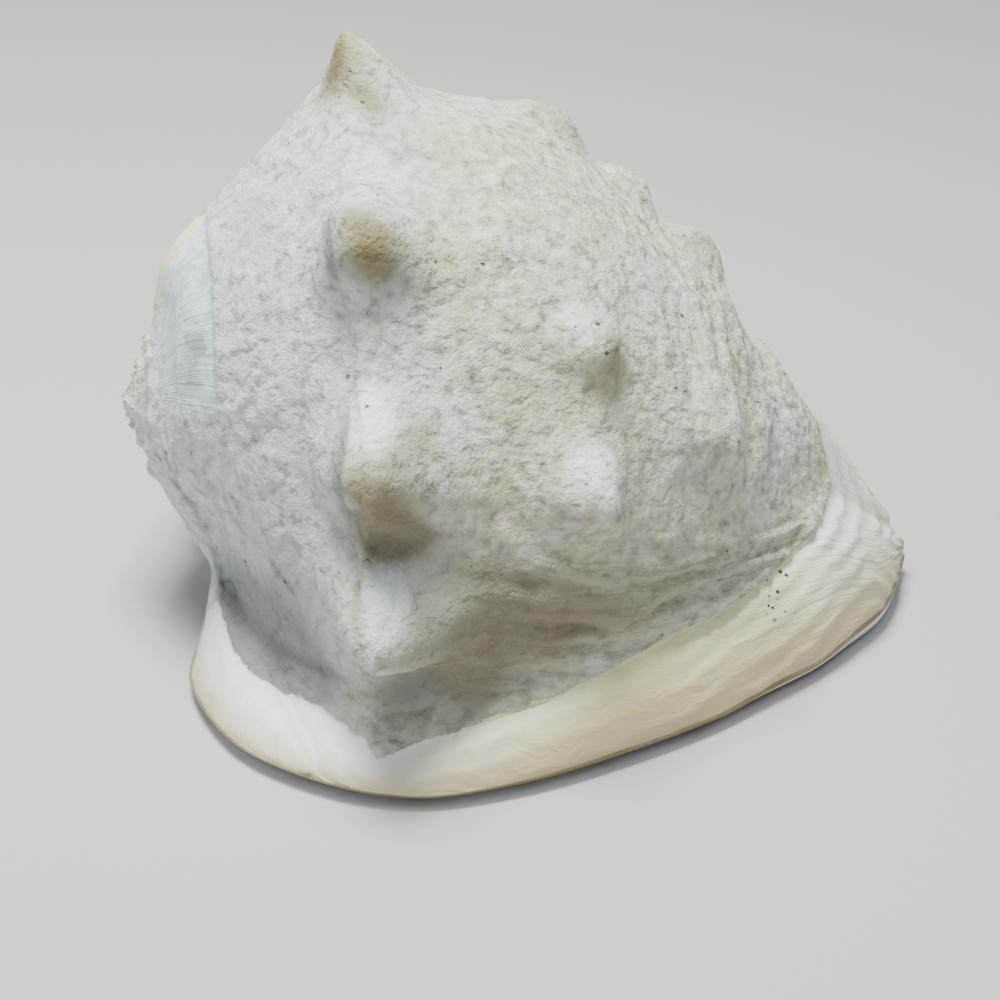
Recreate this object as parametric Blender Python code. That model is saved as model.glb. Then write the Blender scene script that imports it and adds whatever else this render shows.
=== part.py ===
"""Horned helmet shell, resting on its aperture side.

The shell lies along X: spire towards -X, siphonal canal towards +X.
The outer lip is on the -Y side, the parietal shield on the +Y side, Z is up.
It grew as one piece, so it is built as one closed loft. Every station along X
carries one closed loop that runs over the back of the shell, down to the lip,
under the lip, through the hollow, and back under the shield to its rim.
"""
import math

import bmesh
import bpy
import numpy as np
from mathutils import Vector
from mathutils.geometry import tessellate_polygon

# ---------------------------------------------------------------- dimensions
MM = 0.001
APEX_X = -112.0              # mm, tip of the spire
AXIS_Z = 64.0                # mm, height of the spire's centre
SUTURE_R = 24.0              # mm, radius of the last suture at the lip side
WHORL_GROWTH = 1.6           # size gained per full turn of the spire
SPIRE_NODULES = 13           # small nodules on each spire whorl
SPIRE_RISE = 10.0            # mm, height of the spire above the last suture
HORN_LEAN = 0.25             # lean of large horns towards the spire, per unit height
SMALL_LEAN = -0.30           # lean of the small rows, towards the canal
STEEP_SIDE = 0.55            # short side of a horn, of its reach
GENTLE_SIDE = 1.12           # long side of a horn, of its reach
KEEL_X = -50.0               # mm, shoulder keel that carries the large horns
KEEL_HEIGHT = 1.5            # mm
KEEL_WIDTH = 7.0             # mm
WAIST_X = -99.0              # mm, where the ramp draws in above the lip
WAIST_LENGTH = 9.0           # mm
WAIST_DEPTH = 8.0            # mm
WAIST_DEG = 135.0            # angle from the back at the middle of the waist
WAIST_SPREAD_DEG = 30.0
DRAW_IN = 4.5                # mm, how far the spire end draws in just above the lip
DRAW_IN_Z = 24.0             # mm
DRAW_IN_SPREAD = 11.0        # mm
LIP_SIDE_DEG = 115.0         # spire-row angle where the lip side starts
SHIELD_SIDE_DEG = -115.0     # spire-row angle where the shield side starts
FOOT_INSET = 0.16            # share of the underside that rolls down to z = 0
FOOT_WIDTH = 0.30            # share of the underside that lies flat at z = 0
LIP_TOOTH_PITCH = 17.0       # mm between the teeth inside the outer lip
LIP_TOOTH_HEIGHT = 3.0       # mm
TEETH_FROM_X = -48.0         # mm
TEETH_TO_X = 72.0            # mm
FOLD_PITCH = 10.0            # mm between the folds on the shield's inner edge
FOLD_HEIGHT = 1.5            # mm
CAVITY_FAR_DEG = -150.0      # how far round the hollow reaches over the back
FLOOR = 12.0                 # mm, shell left under the hollow on the shield side
LIP_EDGE_HEIGHT = 13.0       # mm, height of the thick inner edge of the lip
FILLET_REACH = 13.0          # mm, easing either side of the corner above the lip
FILLET_PASSES = 4
CENTRE_X = 5.0               # mm, middle of the shell's length
CENTRE_Y = -8.5              # mm, middle of the shell's width
ROWS = 57                    # loops along the shell
COLS = {"shield_top": 3, "back": 40, "lip_top": 5, "lip_under": 5,
        "hollow": 20, "shield_under": 6}

# One line per station, all mm. Columns: x, centre height, radius at the back,
# radius on the far side, radius on the near side, lip root x y z,
# lip rim x y z, shield root y z, shield rim x y z,
# aperture centre x y, aperture width, hollow (0..1), wall, inner-core radius.
STATIONS = (
    (-112.0, 64, 0, 0, 0, -82, -10, 34, -80, -2, 14, 16, 34, -80, 6, 14, -80, -2, 8, 0, 9, 30),
    (-108.5, 64, 10, 10, 10, -83, -12, 32, -81, -4, 12, 20, 32, -81, 8, 12, -80, -2, 8, 0, 9, 30),
    (-102.0, 64, 28, 27, 27, -85, -16, 29, -84, -10, 9, 26, 26, -83, 18, 10, -80, -4, 8, 0, 9, 30),
    (-96.0, 63, 43, 42, 38, -85, -25, 22, -90, -30, 6, 34, 22, -84, 34, 8, -80, -6, 8, 0, 9, 30),
    (-87.0, 61, 54, 52, 49, -83, -37, 17, -97, -54, 4.5, 44, 20, -83, 50, 7, -79, -8, 8, 0.3, 10, 16),
    (-68.0, 58, 76, 73, 69, -70, -68, 12, -88, -84, 4.5, 60, 18, -70, 72, 6, -69, -16, 9, 0.75, 9, 20),
    (-50.0, 55, 94, 89, 84, -53, -88, 9, -68, -104, 4.5, 72, 18, -52, 86, 6, -52, -26, 11, 0.9, 9, 22),
    (-32.0, 52, 96, 89, 88, -33, -91, 10, -43, -114, 4, 75, 18, -32, 94, 6, -33, -34, 14, 1, 8, 21),
    (-10.0, 48, 95, 88, 89, -10, -89, 18, -14, -110.5, 4, 75, 18, -10, 96, 6, -10, -38, 15, 1, 7.5, 20),
    (13.0, 44, 87, 83, 85, 13, -84, 25, 14, -101, 4.5, 70, 18, 14, 89, 6, 13, -38, 15, 1, 7.5, 16),
    (35.0, 39, 74, 72, 74, 36, -73, 27, 42, -88, 4.5, 60, 18, 38, 76, 6, 37, -35, 14, 1, 7, 13),
    (53.0, 35, 62, 58, 61, 56, -59, 32, 64, -74, 5, 47, 18, 59, 60, 6, 57, -29, 13, 0.9, 6.5, 10),
    (66.0, 33, 42, 41, 47, 70, -47, 34, 78, -65, 5, 38, 18, 74, 47, 7, 72, -24, 12, 0.8, 6, 8),
    (78.0, 30, 39, 36, 37, 82, -33, 38, 91, -54, 6, 30, 17, 86, 36, 8, 84, -18, 11, 0.7, 5, 6),
    (96.0, 20, 26.5, 23, 23, 99, -20, 30, 107, -38, 7, 20, 15, 103, 22, 8, 101, -12, 10, 0.6, 4, 5),
    (116.0, 11, 5.5, 8, 11, 118, -8, 14, 122, -10, 9, 8, 12, 119, 6, 9, 119, -3, 7, 0.5, 3, 4),
)
(C_X, C_ZC, C_RTOP, C_RFAR, C_RNEAR, C_JX, C_JY, C_JZ, C_PX, C_PY, C_PZ, C_SY, C_SZ,
 C_QX, C_QY, C_QZ, C_SLOT_X, C_SLOT_Y, C_SLOT_W, C_HOLLOW, C_WALL, C_CORE) = range(22)

# Horns and knobs: x, angle round the axis, height, reach along the shell,
# reach up the whorl, reach down it, sharpness.
KNOBS = (
    (-45, -7, 15.7, 11.5, 11.5, 11.5, 2.0), (-52, 36.5, 13, 16, 13.5, 10.5, 2.8),
    (-51, 73, 19, 18, 16, 10.5, 2.5), (-49, 95, 20.5, 17, 11.5, 9, 2.5),
    (-47, -58, 14, 12, 12, 12, 1.6), (-47, -100, 11, 13, 13, 13, 1.6),
    (12, -17, 8, 14, 14, 14, 2.4), (9, 48, 6, 10, 10.5, 6, 2.2), (5, 73, 9, 13, 12.5, 7.5, 2.4),
    (11, -75, 5, 13, 13, 13, 2.0), (34, -12, 7.5, 10, 10, 10, 2.2), (46, 57, 5, 11, 11.5, 7, 2.2),
    (36, -60, 4, 11, 11, 11, 2.0), (55, -7, 8.5, 9, 9, 9, 2.2), (64, 10, 2, 9, 9, 9, 2.0),
)


# ------------------------------------------------------------------- helpers
def hermite(knots, values, at):
    """Smooth curve through the values, with slopes from their neighbours."""
    knots = np.asarray(knots, float)
    values = np.asarray(values, float)
    i = np.clip(np.searchsorted(knots, at, side="right") - 1, 0, len(knots) - 2)
    step = np.diff(knots)
    slope = np.diff(values) / step
    tangent = np.empty_like(values)
    tangent[0] = slope[0]
    tangent[-1] = slope[-1]
    tangent[1:-1] = ((slope[:-1] * step[1:] + slope[1:] * step[:-1])
                     / (step[:-1] + step[1:]))
    t = (at - knots[i]) / step[i]
    return ((2 * t**3 - 3 * t**2 + 1) * values[i]
            + (t**3 - 2 * t**2 + t) * step[i] * tangent[i]
            + (3 * t**2 - 2 * t**3) * values[i + 1]
            + (t**3 - t**2) * step[i] * tangent[i + 1])


def smooth(low, high, value):
    t = np.clip((value - low) / (high - low), 0.0, 1.0)
    return t * t * (3 - 2 * t)


def bezier(a, b, c, d, count):
    t = np.linspace(0.0, 1.0, count + 1)[:, None]
    return (1 - t)**3 * a + 3 * (1 - t)**2 * t * b + 3 * (1 - t) * t * t * c + t**3 * d


def polar(point, centre_z):
    """Angle from the back of the shell towards the lip, and radius."""
    return math.atan2(-point[1], point[2] - centre_z), math.hypot(point[1], point[2] - centre_z)


def around(x, centre_z, radius, angle):
    return np.stack([x + 0 * angle, -radius * np.sin(angle),
                     centre_z + radius * np.cos(angle)], axis=-1)


# ------------------------------------------------------------------ segments
def back_radius(row, lip, shield, angle):
    """Radius of the whorl between the shield root and the lip root."""
    a_lip, r_lip = polar(lip, row[C_ZC])
    a_shield, r_shield = polar(shield, row[C_ZC])
    knots = (a_shield, 0.65 * a_shield, 0.22 * a_shield,
             0.22 * a_lip, 0.62 * a_lip, a_lip)
    radii = (r_shield, row[C_RFAR], row[C_RTOP],
             0.55 * row[C_RTOP] + 0.45 * row[C_RNEAR], row[C_RNEAR], r_lip)
    return hermite(knots, radii, np.clip(angle, a_shield, a_lip))


def waist(x, angle):
    """Depth of the hollow drawn in above the lip at the spire end."""
    return WAIST_DEPTH * np.exp(-((x - WAIST_X) / WAIST_LENGTH)**2
                                - ((np.degrees(angle) - WAIST_DEG) / WAIST_SPREAD_DEG)**2)


def knob_height(x, angle, far_radius, body):
    """Height of the horns, and how far they lean towards the spire."""
    keel = KEEL_HEIGHT * np.exp(-((x - KEEL_X) / KEEL_WIDTH)**2)
    together, squares, lean = (np.full_like(angle, 1e-6) for _ in range(3))
    for knob_x, degrees, height, reach_along, reach_up, reach_down, sharp in KNOBS:
        large = knob_x < 0
        side = STEEP_SIDE if (x < knob_x) == large else GENTLE_SIDE
        along = (x - knob_x) / (reach_along * side)
        across = (angle - math.radians(degrees)) * far_radius
        across = across / np.where(across < 0, reach_up, reach_down)
        raised = height * np.exp(-np.hypot(along, across)**sharp)
        together += raised
        squares += raised**2
        lean += raised * (HORN_LEAN if large else SMALL_LEAN)
    total = np.sqrt(squares)
    return (keel + total) * body, (HORN_LEAN * keel + total * lean / together) * body


def back_segment(row, body, count):
    lip = row[[C_JX, C_JY, C_JZ]]
    shield = np.array([row[C_X], row[C_SY], row[C_SZ]])
    a_lip = polar(lip, row[C_ZC])[0] * body + math.radians(LIP_SIDE_DEG) * (1 - body)
    a_shield = (polar(shield, row[C_ZC])[0] * body
                + math.radians(SHIELD_SIDE_DEG) * (1 - body))
    angle = np.linspace(a_shield, a_lip, count + 1)
    radius = row[C_RTOP] * (1 - body)
    if body > 0.02:
        radius = radius + body * back_radius(row, lip, shield, angle)
    raised, lean = knob_height(row[C_X], angle, row[C_RFAR], body)
    points = around(row[C_X], row[C_ZC], radius + raised - waist(row[C_X], angle), angle)
    points[:, 0] -= lean
    pull = smooth(math.radians(60), a_lip, angle) * body
    points[:, 0] += (lip[0] - row[C_X]) * pull
    return points


def flange(root, rim, count):
    """Upper face of a reflected rim: leaves the body level, turns down at the rim."""
    lift = np.array([0.0, 0.0, 1.0])
    out = root + (rim - root) * 0.30 + lift * 0.55 * abs(rim[1] - root[1])
    down = rim + lift * max(0.45 * (root[2] - rim[2]), 4.0)
    return bezier(root, out, down, rim, count)


def underside(rim, edge, count):
    """From the rim down to the flat foot at z = 0, then up to the aperture edge."""
    share = np.array([0.0, 0.0, FOOT_INSET, FOOT_INSET + FOOT_WIDTH])
    share = np.concatenate([share[[0, 2, 3]], np.linspace(FOOT_INSET + FOOT_WIDTH, 1.0,
                                                         count - 1)[1:]])
    points = rim + (edge - rim) * share[:, None]
    rise = smooth(FOOT_INSET + FOOT_WIDTH, 1.0, share)
    points[1:, 2] = edge[2] * rise[1:]
    return points


def hollow_segment(row, lip_edge, shield_edge, lip, shield, count):
    """Up inside the outer wall, round at the far end, and back along the core."""
    thick = min(LIP_EDGE_HEIGHT, 0.45 * row[C_ZC])
    lip_top = lip_edge + np.array([0.0, -0.25 * thick, thick])
    fold_top = shield_edge + np.array([0.0, 0.1 * thick, 0.8 * thick])
    a_start, r_start = polar(lip_top, row[C_ZC])
    a_end, r_end = polar(fold_top, row[C_ZC])
    reach = a_start + (math.radians(CAVITY_FAR_DEG) - a_start) * row[C_HOLLOW]
    half = count // 2
    out_angle = np.linspace(a_start, reach, half)
    inner = back_radius(row, lip, shield, out_angle) - waist(row[C_X], out_angle) - row[C_WALL]
    down = np.maximum(-np.cos(np.minimum(out_angle, -math.pi / 2)), 0.05)
    inner = np.minimum(inner, (row[C_ZC] - FLOOR) / down)
    inner = np.maximum(inner, row[C_CORE] + 3.0)
    leave = smooth(a_start, polar(lip, row[C_ZC])[0] - 0.15, out_angle)
    outer = around(row[C_X], row[C_ZC], r_start + (inner - r_start) * leave, out_angle)
    home_angle = np.linspace(reach, a_end, count - half - 1)
    arrive = smooth(a_end - 0.6, a_end, home_angle)
    core = around(row[C_X], row[C_ZC], row[C_CORE] + (r_end - row[C_CORE]) * arrive,
                  home_angle)
    outer[:, 0] += (lip_edge[0] - row[C_X]) * (1 - leave)
    core[:, 0] += (shield_edge[0] - row[C_X]) * arrive
    deep = np.concatenate([[lip_edge], outer, core, [shield_edge]])
    flat = lip_edge + (shield_edge - lip_edge) * np.linspace(0, 1, count + 1)[:, None]
    weight = smooth(0.0, 0.25, row[C_HOLLOW])
    return flat + (deep - flat) * weight


def aperture_edges(row):
    """Both sides of the long aperture: rounded teeth on the lip, finer folds opposite."""
    x = row[C_SLOT_X]
    half = row[C_SLOT_W] / 2
    span = (smooth(TEETH_FROM_X - 8, TEETH_FROM_X + 8, x)
            * (1 - smooth(TEETH_TO_X - 8, TEETH_TO_X + 8, x)))
    tooth = span * LIP_TOOTH_HEIGHT * (0.5 + 0.5 * math.cos(2 * math.pi * x / LIP_TOOTH_PITCH))
    fold = span * FOLD_HEIGHT * (0.5 + 0.5 * math.cos(2 * math.pi * x / FOLD_PITCH))
    lip_edge = np.array([x, row[C_SLOT_Y] - half + tooth, 5.0])
    shield_edge = np.array([x, row[C_SLOT_Y] + half - fold, 6.0])
    return lip_edge, shield_edge


def loop(row, body):
    """One closed loop of the loft, starting at the shield rim."""
    back = back_segment(row, body, COLS["back"])
    lip_rim = row[[C_PX, C_PY, C_PZ]]
    shield_rim = row[[C_QX, C_QY, C_QZ]]
    lip_edge, shield_edge = aperture_edges(row)
    parts = [
        flange(back[0], shield_rim, COLS["shield_top"])[::-1], back,
        flange(back[-1], lip_rim, COLS["lip_top"]),
        underside(lip_rim, lip_edge, COLS["lip_under"]),
        hollow_segment(row, lip_edge, shield_edge, back[-1], back[0], COLS["hollow"]),
        underside(shield_rim, shield_edge, COLS["shield_under"])[::-1],
    ]
    spans = ((-125, -115), None, (115, 130), (130, 165), (165, 200), (200, 235))
    rows = []
    for part, span in zip(parts, spans):
        if span is not None:
            angle = np.radians(np.linspace(span[0], span[1], len(part)))
            ring = around(row[C_X], row[C_ZC], row[C_RTOP] - waist(row[C_X], angle), angle)
            part = ring * (1 - body) + part * body
        rows.append(part[:-1])
    return np.concatenate(rows)


# --------------------------------------------------------------------- spire
def spire_height(radius, angle):
    """X of the coiled spire: whorls step out at each suture, with nodules."""
    turn = math.log(WHORL_GROWTH)
    edge = SUTURE_R * np.exp(turn / (2 * math.pi) * (angle - math.radians(LIP_SIDE_DEG)))
    whorl = np.log(np.maximum(radius, 0.3) / edge) / turn
    part = whorl - np.floor(whorl)
    size = np.clip(radius / 20.0, 0.1, 1.0)
    shoulder = np.exp(-((part - 0.66) / 0.17)**2)
    knobs = (0.5 + 0.5 * np.cos(SPIRE_NODULES * angle))**1.5
    groove = np.exp(-(np.minimum(part, 1 - part) / 0.09)**2)
    relief = size * (1.0 * shoulder + 2.2 * shoulder * knobs - 1.2 * groove)
    return APEX_X + SPIRE_RISE * (radius / 25.0)**1.15 - relief * (whorl < 0)


def eased(points, share):
    """Rounds the corner above the lip, along each loop."""
    corner = COLS["shield_top"] + COLS["back"]
    steps = np.linalg.norm(np.diff(points, axis=1, prepend=points[:, :1]), axis=-1)
    length = np.cumsum(steps, axis=1)
    near = np.exp(-((length - length[:, corner:corner + 1]) / FILLET_REACH)**4)[..., None]
    for _ in range(FILLET_PASSES):
        middle = (np.roll(points, 1, axis=1) + np.roll(points, -1, axis=1)) / 2
        points = points + (middle - points) * near * share * 0.5
    return points


def shell_grid(rows):
    """All loops, one row of points per position along the shell."""
    last = len(STATIONS) - 1
    table = np.array(STATIONS, float)
    where = np.linspace(0.35, last, rows)
    data = np.stack([hermite(np.arange(last + 1), table[:, c], where)
                     for c in range(table.shape[1])], axis=1)
    data[:, C_HOLLOW] = np.clip(data[:, C_HOLLOW], 0.0, 1.0)
    body = smooth(1.9, 4.0, where)
    grid = np.stack([loop(row, b) for row, b in zip(data, body)])
    radius = np.hypot(grid[..., 1], grid[..., 2] - AXIS_Z)
    angle = np.arctan2(-grid[..., 1], grid[..., 2] - AXIS_Z)
    angle = np.where(angle < math.radians(-125), angle + 2 * math.pi, angle)
    blend = (1 - smooth(1.9, 2.7, where))[:, None]
    grid[..., 0] = grid[..., 0] * (1 - blend) + spire_height(radius, angle) * blend
    grid[..., 0] += (DRAW_IN * smooth(-86.0, -92.0, grid[..., 0])
                     * smooth(-8.0, -24.0, grid[..., 1])
                     * np.exp(-((grid[..., 2] - DRAW_IN_Z) / DRAW_IN_SPREAD)**2))
    return eased(grid, smooth(0.25, 0.75, body)[:, None, None])


# ---------------------------------------------------------------------- mesh
def clear_scene():
    for item in list(bpy.data.objects):
        bpy.data.objects.remove(item, do_unlink=True)


def loft(bm, grid):
    """Close the loops into one skin, a point at the apex and a face at the canal."""
    verts = [[bm.verts.new(Vector(p) * MM) for p in row] for row in grid.tolist()]
    count = len(verts[0])
    apex = bm.verts.new(Vector((APEX_X, 0.0, AXIS_Z)) * MM)
    for j in range(count):
        k = (j + 1) % count
        bm.faces.new((apex, verts[0][j], verts[0][k]))
    for near, far in zip(verts[:-1], verts[1:]):
        for j in range(count):
            k = (j + 1) % count
            bm.faces.new((near[j], far[j], far[k], near[k]))
    end = verts[-1]
    flat = [Vector((v.co.y, v.co.z, 0.0)) for v in end]
    for tri in tessellate_polygon([flat]):
        bm.faces.new([end[i] for i in tri])


def shell_material():
    mat = bpy.data.materials.new("shell")
    mat.use_nodes = True
    surface = mat.node_tree.nodes["Principled BSDF"]
    surface.inputs["Base Color"].default_value = (0.80, 0.76, 0.67, 1.0)
    surface.inputs["Roughness"].default_value = 0.55
    return mat


def main():
    clear_scene()
    bm = bmesh.new()
    loft(bm, shell_grid(ROWS))
    low = min(v.co.z for v in bm.verts)
    bmesh.ops.translate(bm, verts=bm.verts[:], vec=(-CENTRE_X * MM, -CENTRE_Y * MM, -low))
    bmesh.ops.triangulate(bm, faces=bm.faces[:])
    bmesh.ops.recalc_face_normals(bm, faces=bm.faces[:])
    mesh = bpy.data.meshes.new("helmet_shell")
    bm.to_mesh(mesh)
    bm.free()
    obj = bpy.data.objects.new("helmet_shell", mesh)
    bpy.context.scene.collection.objects.link(obj)
    mesh.materials.append(shell_material())


main()
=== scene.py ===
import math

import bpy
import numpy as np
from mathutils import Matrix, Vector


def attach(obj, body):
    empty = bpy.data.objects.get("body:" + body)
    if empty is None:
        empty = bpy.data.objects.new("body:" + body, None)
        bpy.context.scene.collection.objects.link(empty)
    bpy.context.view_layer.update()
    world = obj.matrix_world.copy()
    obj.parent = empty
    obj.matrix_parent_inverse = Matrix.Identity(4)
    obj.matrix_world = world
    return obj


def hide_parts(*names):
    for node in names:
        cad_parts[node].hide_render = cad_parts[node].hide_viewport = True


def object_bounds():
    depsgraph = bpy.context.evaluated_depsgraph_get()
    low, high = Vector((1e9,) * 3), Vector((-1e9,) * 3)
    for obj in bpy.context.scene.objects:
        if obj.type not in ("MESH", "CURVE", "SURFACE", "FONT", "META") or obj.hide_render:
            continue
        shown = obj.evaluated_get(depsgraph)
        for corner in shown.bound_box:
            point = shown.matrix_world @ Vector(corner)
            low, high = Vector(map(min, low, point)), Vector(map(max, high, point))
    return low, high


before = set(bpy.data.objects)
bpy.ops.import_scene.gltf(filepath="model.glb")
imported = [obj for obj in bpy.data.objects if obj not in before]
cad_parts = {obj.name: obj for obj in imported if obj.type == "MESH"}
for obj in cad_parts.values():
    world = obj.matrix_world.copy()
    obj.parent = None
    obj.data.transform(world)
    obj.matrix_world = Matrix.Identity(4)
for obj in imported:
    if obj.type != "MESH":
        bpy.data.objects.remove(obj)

# %% [markdown]
# A horned helmet shell, lying on its mouth with its back up.
# A sea snail grows its shell by adding to the lip, so the whole shell is one
# piece with no joint in it. That is why there is one mesh here, made in three
# steps: a smooth loft gives the big shape, a Geometry Nodes tree carves the
# relief that follows growth, and node materials give the chalky coat its
# cracks, pits and stains.
# Sizes are in millimetres until the mesh is made, because shells are measured
# that way; MM turns them into Blender's metres.

MM = 0.001
SEED = 7
CAD_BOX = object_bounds()
ORIGIN_SHIFT = np.array([-5.0, 8.5, 0.0])    # mm, from growth axes to the frame
print("box of the solid, mm:", [[round(v / MM, 1) for v in corner] for corner in CAD_BOX])

# %% [markdown]
# The shape is a loft, as a boat's hull is: one closed loop for each station
# along the shell, and smooth curves through the stations. Each line below is
# one station. The loop runs over the back, down to the outer lip, under the
# lip, up through the hollow body, and back under the shield on the far side.
# A table of stations is quicker to judge by eye than a spiral formula, because
# this snail's last whorl is swollen and has outgrown the spiral.

# %% Stations along the shell
# Columns: x, centre height, radius at the back, radius on the far side,
# radius on the near side, lip root x y z, lip rim x y z, shield root y z,
# shield rim x y z, mouth centre x y, mouth width, hollow, wall, inner core.
STATIONS = (
    (-112, 64, 0, 0, 0, -82, -10, 34, -80, -2, 14, 16, 34, -80, 6, 14, -80, -2, 8, 0, 9, 30),
    (-108.5, 64, 10, 10, 10, -83, -12, 32, -81, -4, 12, 20, 32, -81, 8, 12, -80, -2, 8, 0, 9, 30),
    (-102, 64, 28, 27, 27, -85, -16, 29, -84, -10, 9, 26, 26, -83, 18, 10, -80, -4, 8, 0, 9, 30),
    (-96, 63, 43, 42, 38, -85, -25, 22, -90, -30, 6, 34, 22, -84, 34, 8, -80, -6, 8, 0, 9, 30),
    (-87, 61, 54, 52, 49, -83, -37, 17, -97, -54, 4.5, 44, 20, -83, 50, 7, -79, -8, 8, 0.3, 10, 16),
    (-68, 58, 76, 73, 69, -70, -68, 12, -88, -84, 4.5, 60, 18, -70, 72, 6, -69, -16, 9, 0.75, 9, 20),
    (-50, 55, 94, 89, 84, -53, -88, 9, -68, -104, 4.5, 72, 18, -52, 86, 6, -52, -26, 11, 0.9, 9, 22),
    (-32, 52, 96, 89, 88, -33, -91, 10, -43, -114, 4, 75, 18, -32, 94, 6, -33, -34, 14, 1, 8, 21),
    (-10, 48, 95, 88, 89, -10, -89, 18, -14, -110.5, 4, 75, 18, -10, 96, 6, -10, -38, 15, 1, 7.5, 20),
    (13, 44, 87, 83, 85, 13, -84, 25, 14, -101, 4.5, 70, 18, 14, 89, 6, 13, -38, 15, 1, 7.5, 16),
    (35, 39, 74, 72, 74, 36, -73, 27, 42, -88, 4.5, 60, 18, 38, 76, 6, 37, -35, 14, 1, 7, 13),
    (53, 35, 62, 58, 61, 56, -59, 32, 64, -74, 5, 47, 18, 59, 60, 6, 57, -29, 13, 0.9, 6.5, 10),
    (66, 33, 42, 41, 47, 70, -47, 34, 78, -65, 5, 38, 18, 74, 47, 7, 72, -24, 12, 0.8, 6, 8),
    (78, 30, 39, 36, 37, 82, -33, 38, 91, -54, 6, 30, 17, 86, 36, 8, 84, -18, 11, 0.7, 5, 6),
    (96, 20, 26.5, 23, 23, 99, -20, 30, 107, -38, 7, 20, 15, 103, 22, 8, 101, -12, 10, 0.6, 4, 5),
    (116, 11, 5.5, 8, 11, 118, -8, 14, 122, -10, 9, 8, 12, 119, 6, 9, 119, -3, 7, 0.5, 3, 4),
)
(X, CENTRE_Z, R_BACK, R_FAR, R_NEAR, ROOT_X, ROOT_Y, ROOT_Z, RIM_X, RIM_Y, RIM_Z,
 SHIELD_Y, SHIELD_Z, BRIM_X, BRIM_Y, BRIM_Z, MOUTH_X, MOUTH_Y, MOUTH_W,
 HOLLOW, WALL, CORE) = range(22)
print(len(STATIONS), "stations from x", STATIONS[0][X], "to", STATIONS[-1][X], "mm")

# %% [markdown]
# Horns could be cones stuck on, but on a real shell each is a bulge of the
# wall itself, steep on one side and gentle on the other. So a horn is a bump in
# the radius of the loops: a height, and how far it reaches each way.

# %% Horns and knobs
# x, degrees from the back towards the lip, height, reach along the shell,
# reach up the whorl, reach down it, sharpness.
KNOBS = (
    (-45, -7, 14.5, 11.5, 11.5, 11.5, 2.0), (-52, 36.5, 13, 16, 13.5, 10.5, 2.8),
    (-51, 73, 19, 18, 16, 10.5, 2.5), (-49, 95, 20.5, 17, 11.5, 9, 2.5),
    (-47, -58, 14, 12, 12, 12, 1.6), (-47, -100, 11, 13, 13, 13, 1.6),
    (12, -17, 8, 14, 14, 14, 2.4), (9, 48, 6, 10, 10.5, 6, 2.2), (5, 73, 9, 13, 12.5, 7.5, 2.4),
    (11, -75, 5, 13, 13, 13, 2.0), (34, -12, 7.5, 10, 10, 10, 2.2), (46, 57, 5, 11, 11.5, 7, 2.2),
    (36, -60, 4, 11, 11, 11, 2.0), (55, -7, 8.5, 9, 9, 9, 2.2), (64, 10, 2, 9, 9, 9, 2.0),
)
HORN_LEAN = 0.25             # lean of large horns towards the spire, for each mm of height
SMALL_LEAN = -0.30           # the small rows lean towards the canal
STEEP_SIDE = 0.55            # share of its reach that a horn has on the side it leans to
GENTLE_SIDE = 1.12           # and on its other side
KEEL_X = -50.0               # mm, shoulder keel that carries the large horns
KEEL_HEIGHT = 1.5
KEEL_WIDTH = 7.0
print(len(KNOBS), "horns and knobs, the tallest", max(knob[2] for knob in KNOBS), "mm")

# %% [markdown]
# Between two stations the numbers have to change smoothly, or the shell shows a
# ring at each one. A Hermite curve passes through every value and takes its
# slope from the neighbours, so changing one number moves the shell only nearby.

# %% Smooth curves through a few values
def hermite(knots, values, at):
    """Smooth curve through the values, with slopes from their neighbours."""
    knots = np.asarray(knots, float)
    values = np.asarray(values, float)
    i = np.clip(np.searchsorted(knots, at, side="right") - 1, 0, len(knots) - 2)
    step = np.diff(knots)
    slope = np.diff(values) / step
    tangent = np.empty_like(values)
    tangent[0] = slope[0]
    tangent[-1] = slope[-1]
    tangent[1:-1] = ((slope[:-1] * step[1:] + slope[1:] * step[:-1])
                     / (step[:-1] + step[1:]))
    t = (at - knots[i]) / step[i]
    return ((2 * t**3 - 3 * t**2 + 1) * values[i]
            + (t**3 - 2 * t**2 + t) * step[i] * tangent[i]
            + (3 * t**2 - 2 * t**3) * values[i + 1]
            + (t**3 - t**2) * step[i] * tangent[i + 1])


def smooth(low, high, value):
    """A soft step from 0 to 1; it falls instead where low is above high."""
    t = np.clip((value - low) / (high - low), 0.0, 1.0)
    return t * t * (3 - 2 * t)


def span(begins, full, fades, gone, value):
    """A soft step up, and another one down further on."""
    return smooth(begins, full, value) * (1 - smooth(fades, gone, value))


def bezier(a, b, c, d, count):
    """A curve from a to d, drawn towards b and c on the way."""
    t = np.linspace(0.0, 1.0, count + 1)[:, None]
    return (1 - t)**3 * a + 3 * (1 - t)**2 * t * b + 3 * (1 - t) * t * t * c + t**3 * d


def polar(point, centre_z):
    """Angle from the back of the shell towards the lip, and radius."""
    return math.atan2(-point[1], point[2] - centre_z), math.hypot(point[1], point[2] - centre_z)


def around(x, centre_z, radius, angle):
    """Points at a radius and angle round the axis of growth."""
    return np.stack([x + 0 * angle, -radius * np.sin(angle),
                     centre_z + radius * np.cos(angle)], axis=-1)


print("a quarter of the way, a soft step has come to", float(smooth(0.0, 1.0, 0.25)))

# %% [markdown]
# The back is one curve for each loop, given as a radius at every angle. The
# horns, the keel that joins them and the narrow waist next to the lip are added
# to that radius, so they need no joining and leave no seam.

# %% The back of the shell
WAIST_X = -99.0              # mm, where the ramp draws in above the lip
WAIST_LENGTH = 9.0
WAIST_DEPTH = 8.0
WAIST_ANGLE = math.radians(135)
WAIST_SPREAD = math.radians(30)
LIP_SIDE = math.radians(115)     # where the back ends on the round spire end
SHIELD_SIDE = math.radians(-115)


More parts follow.
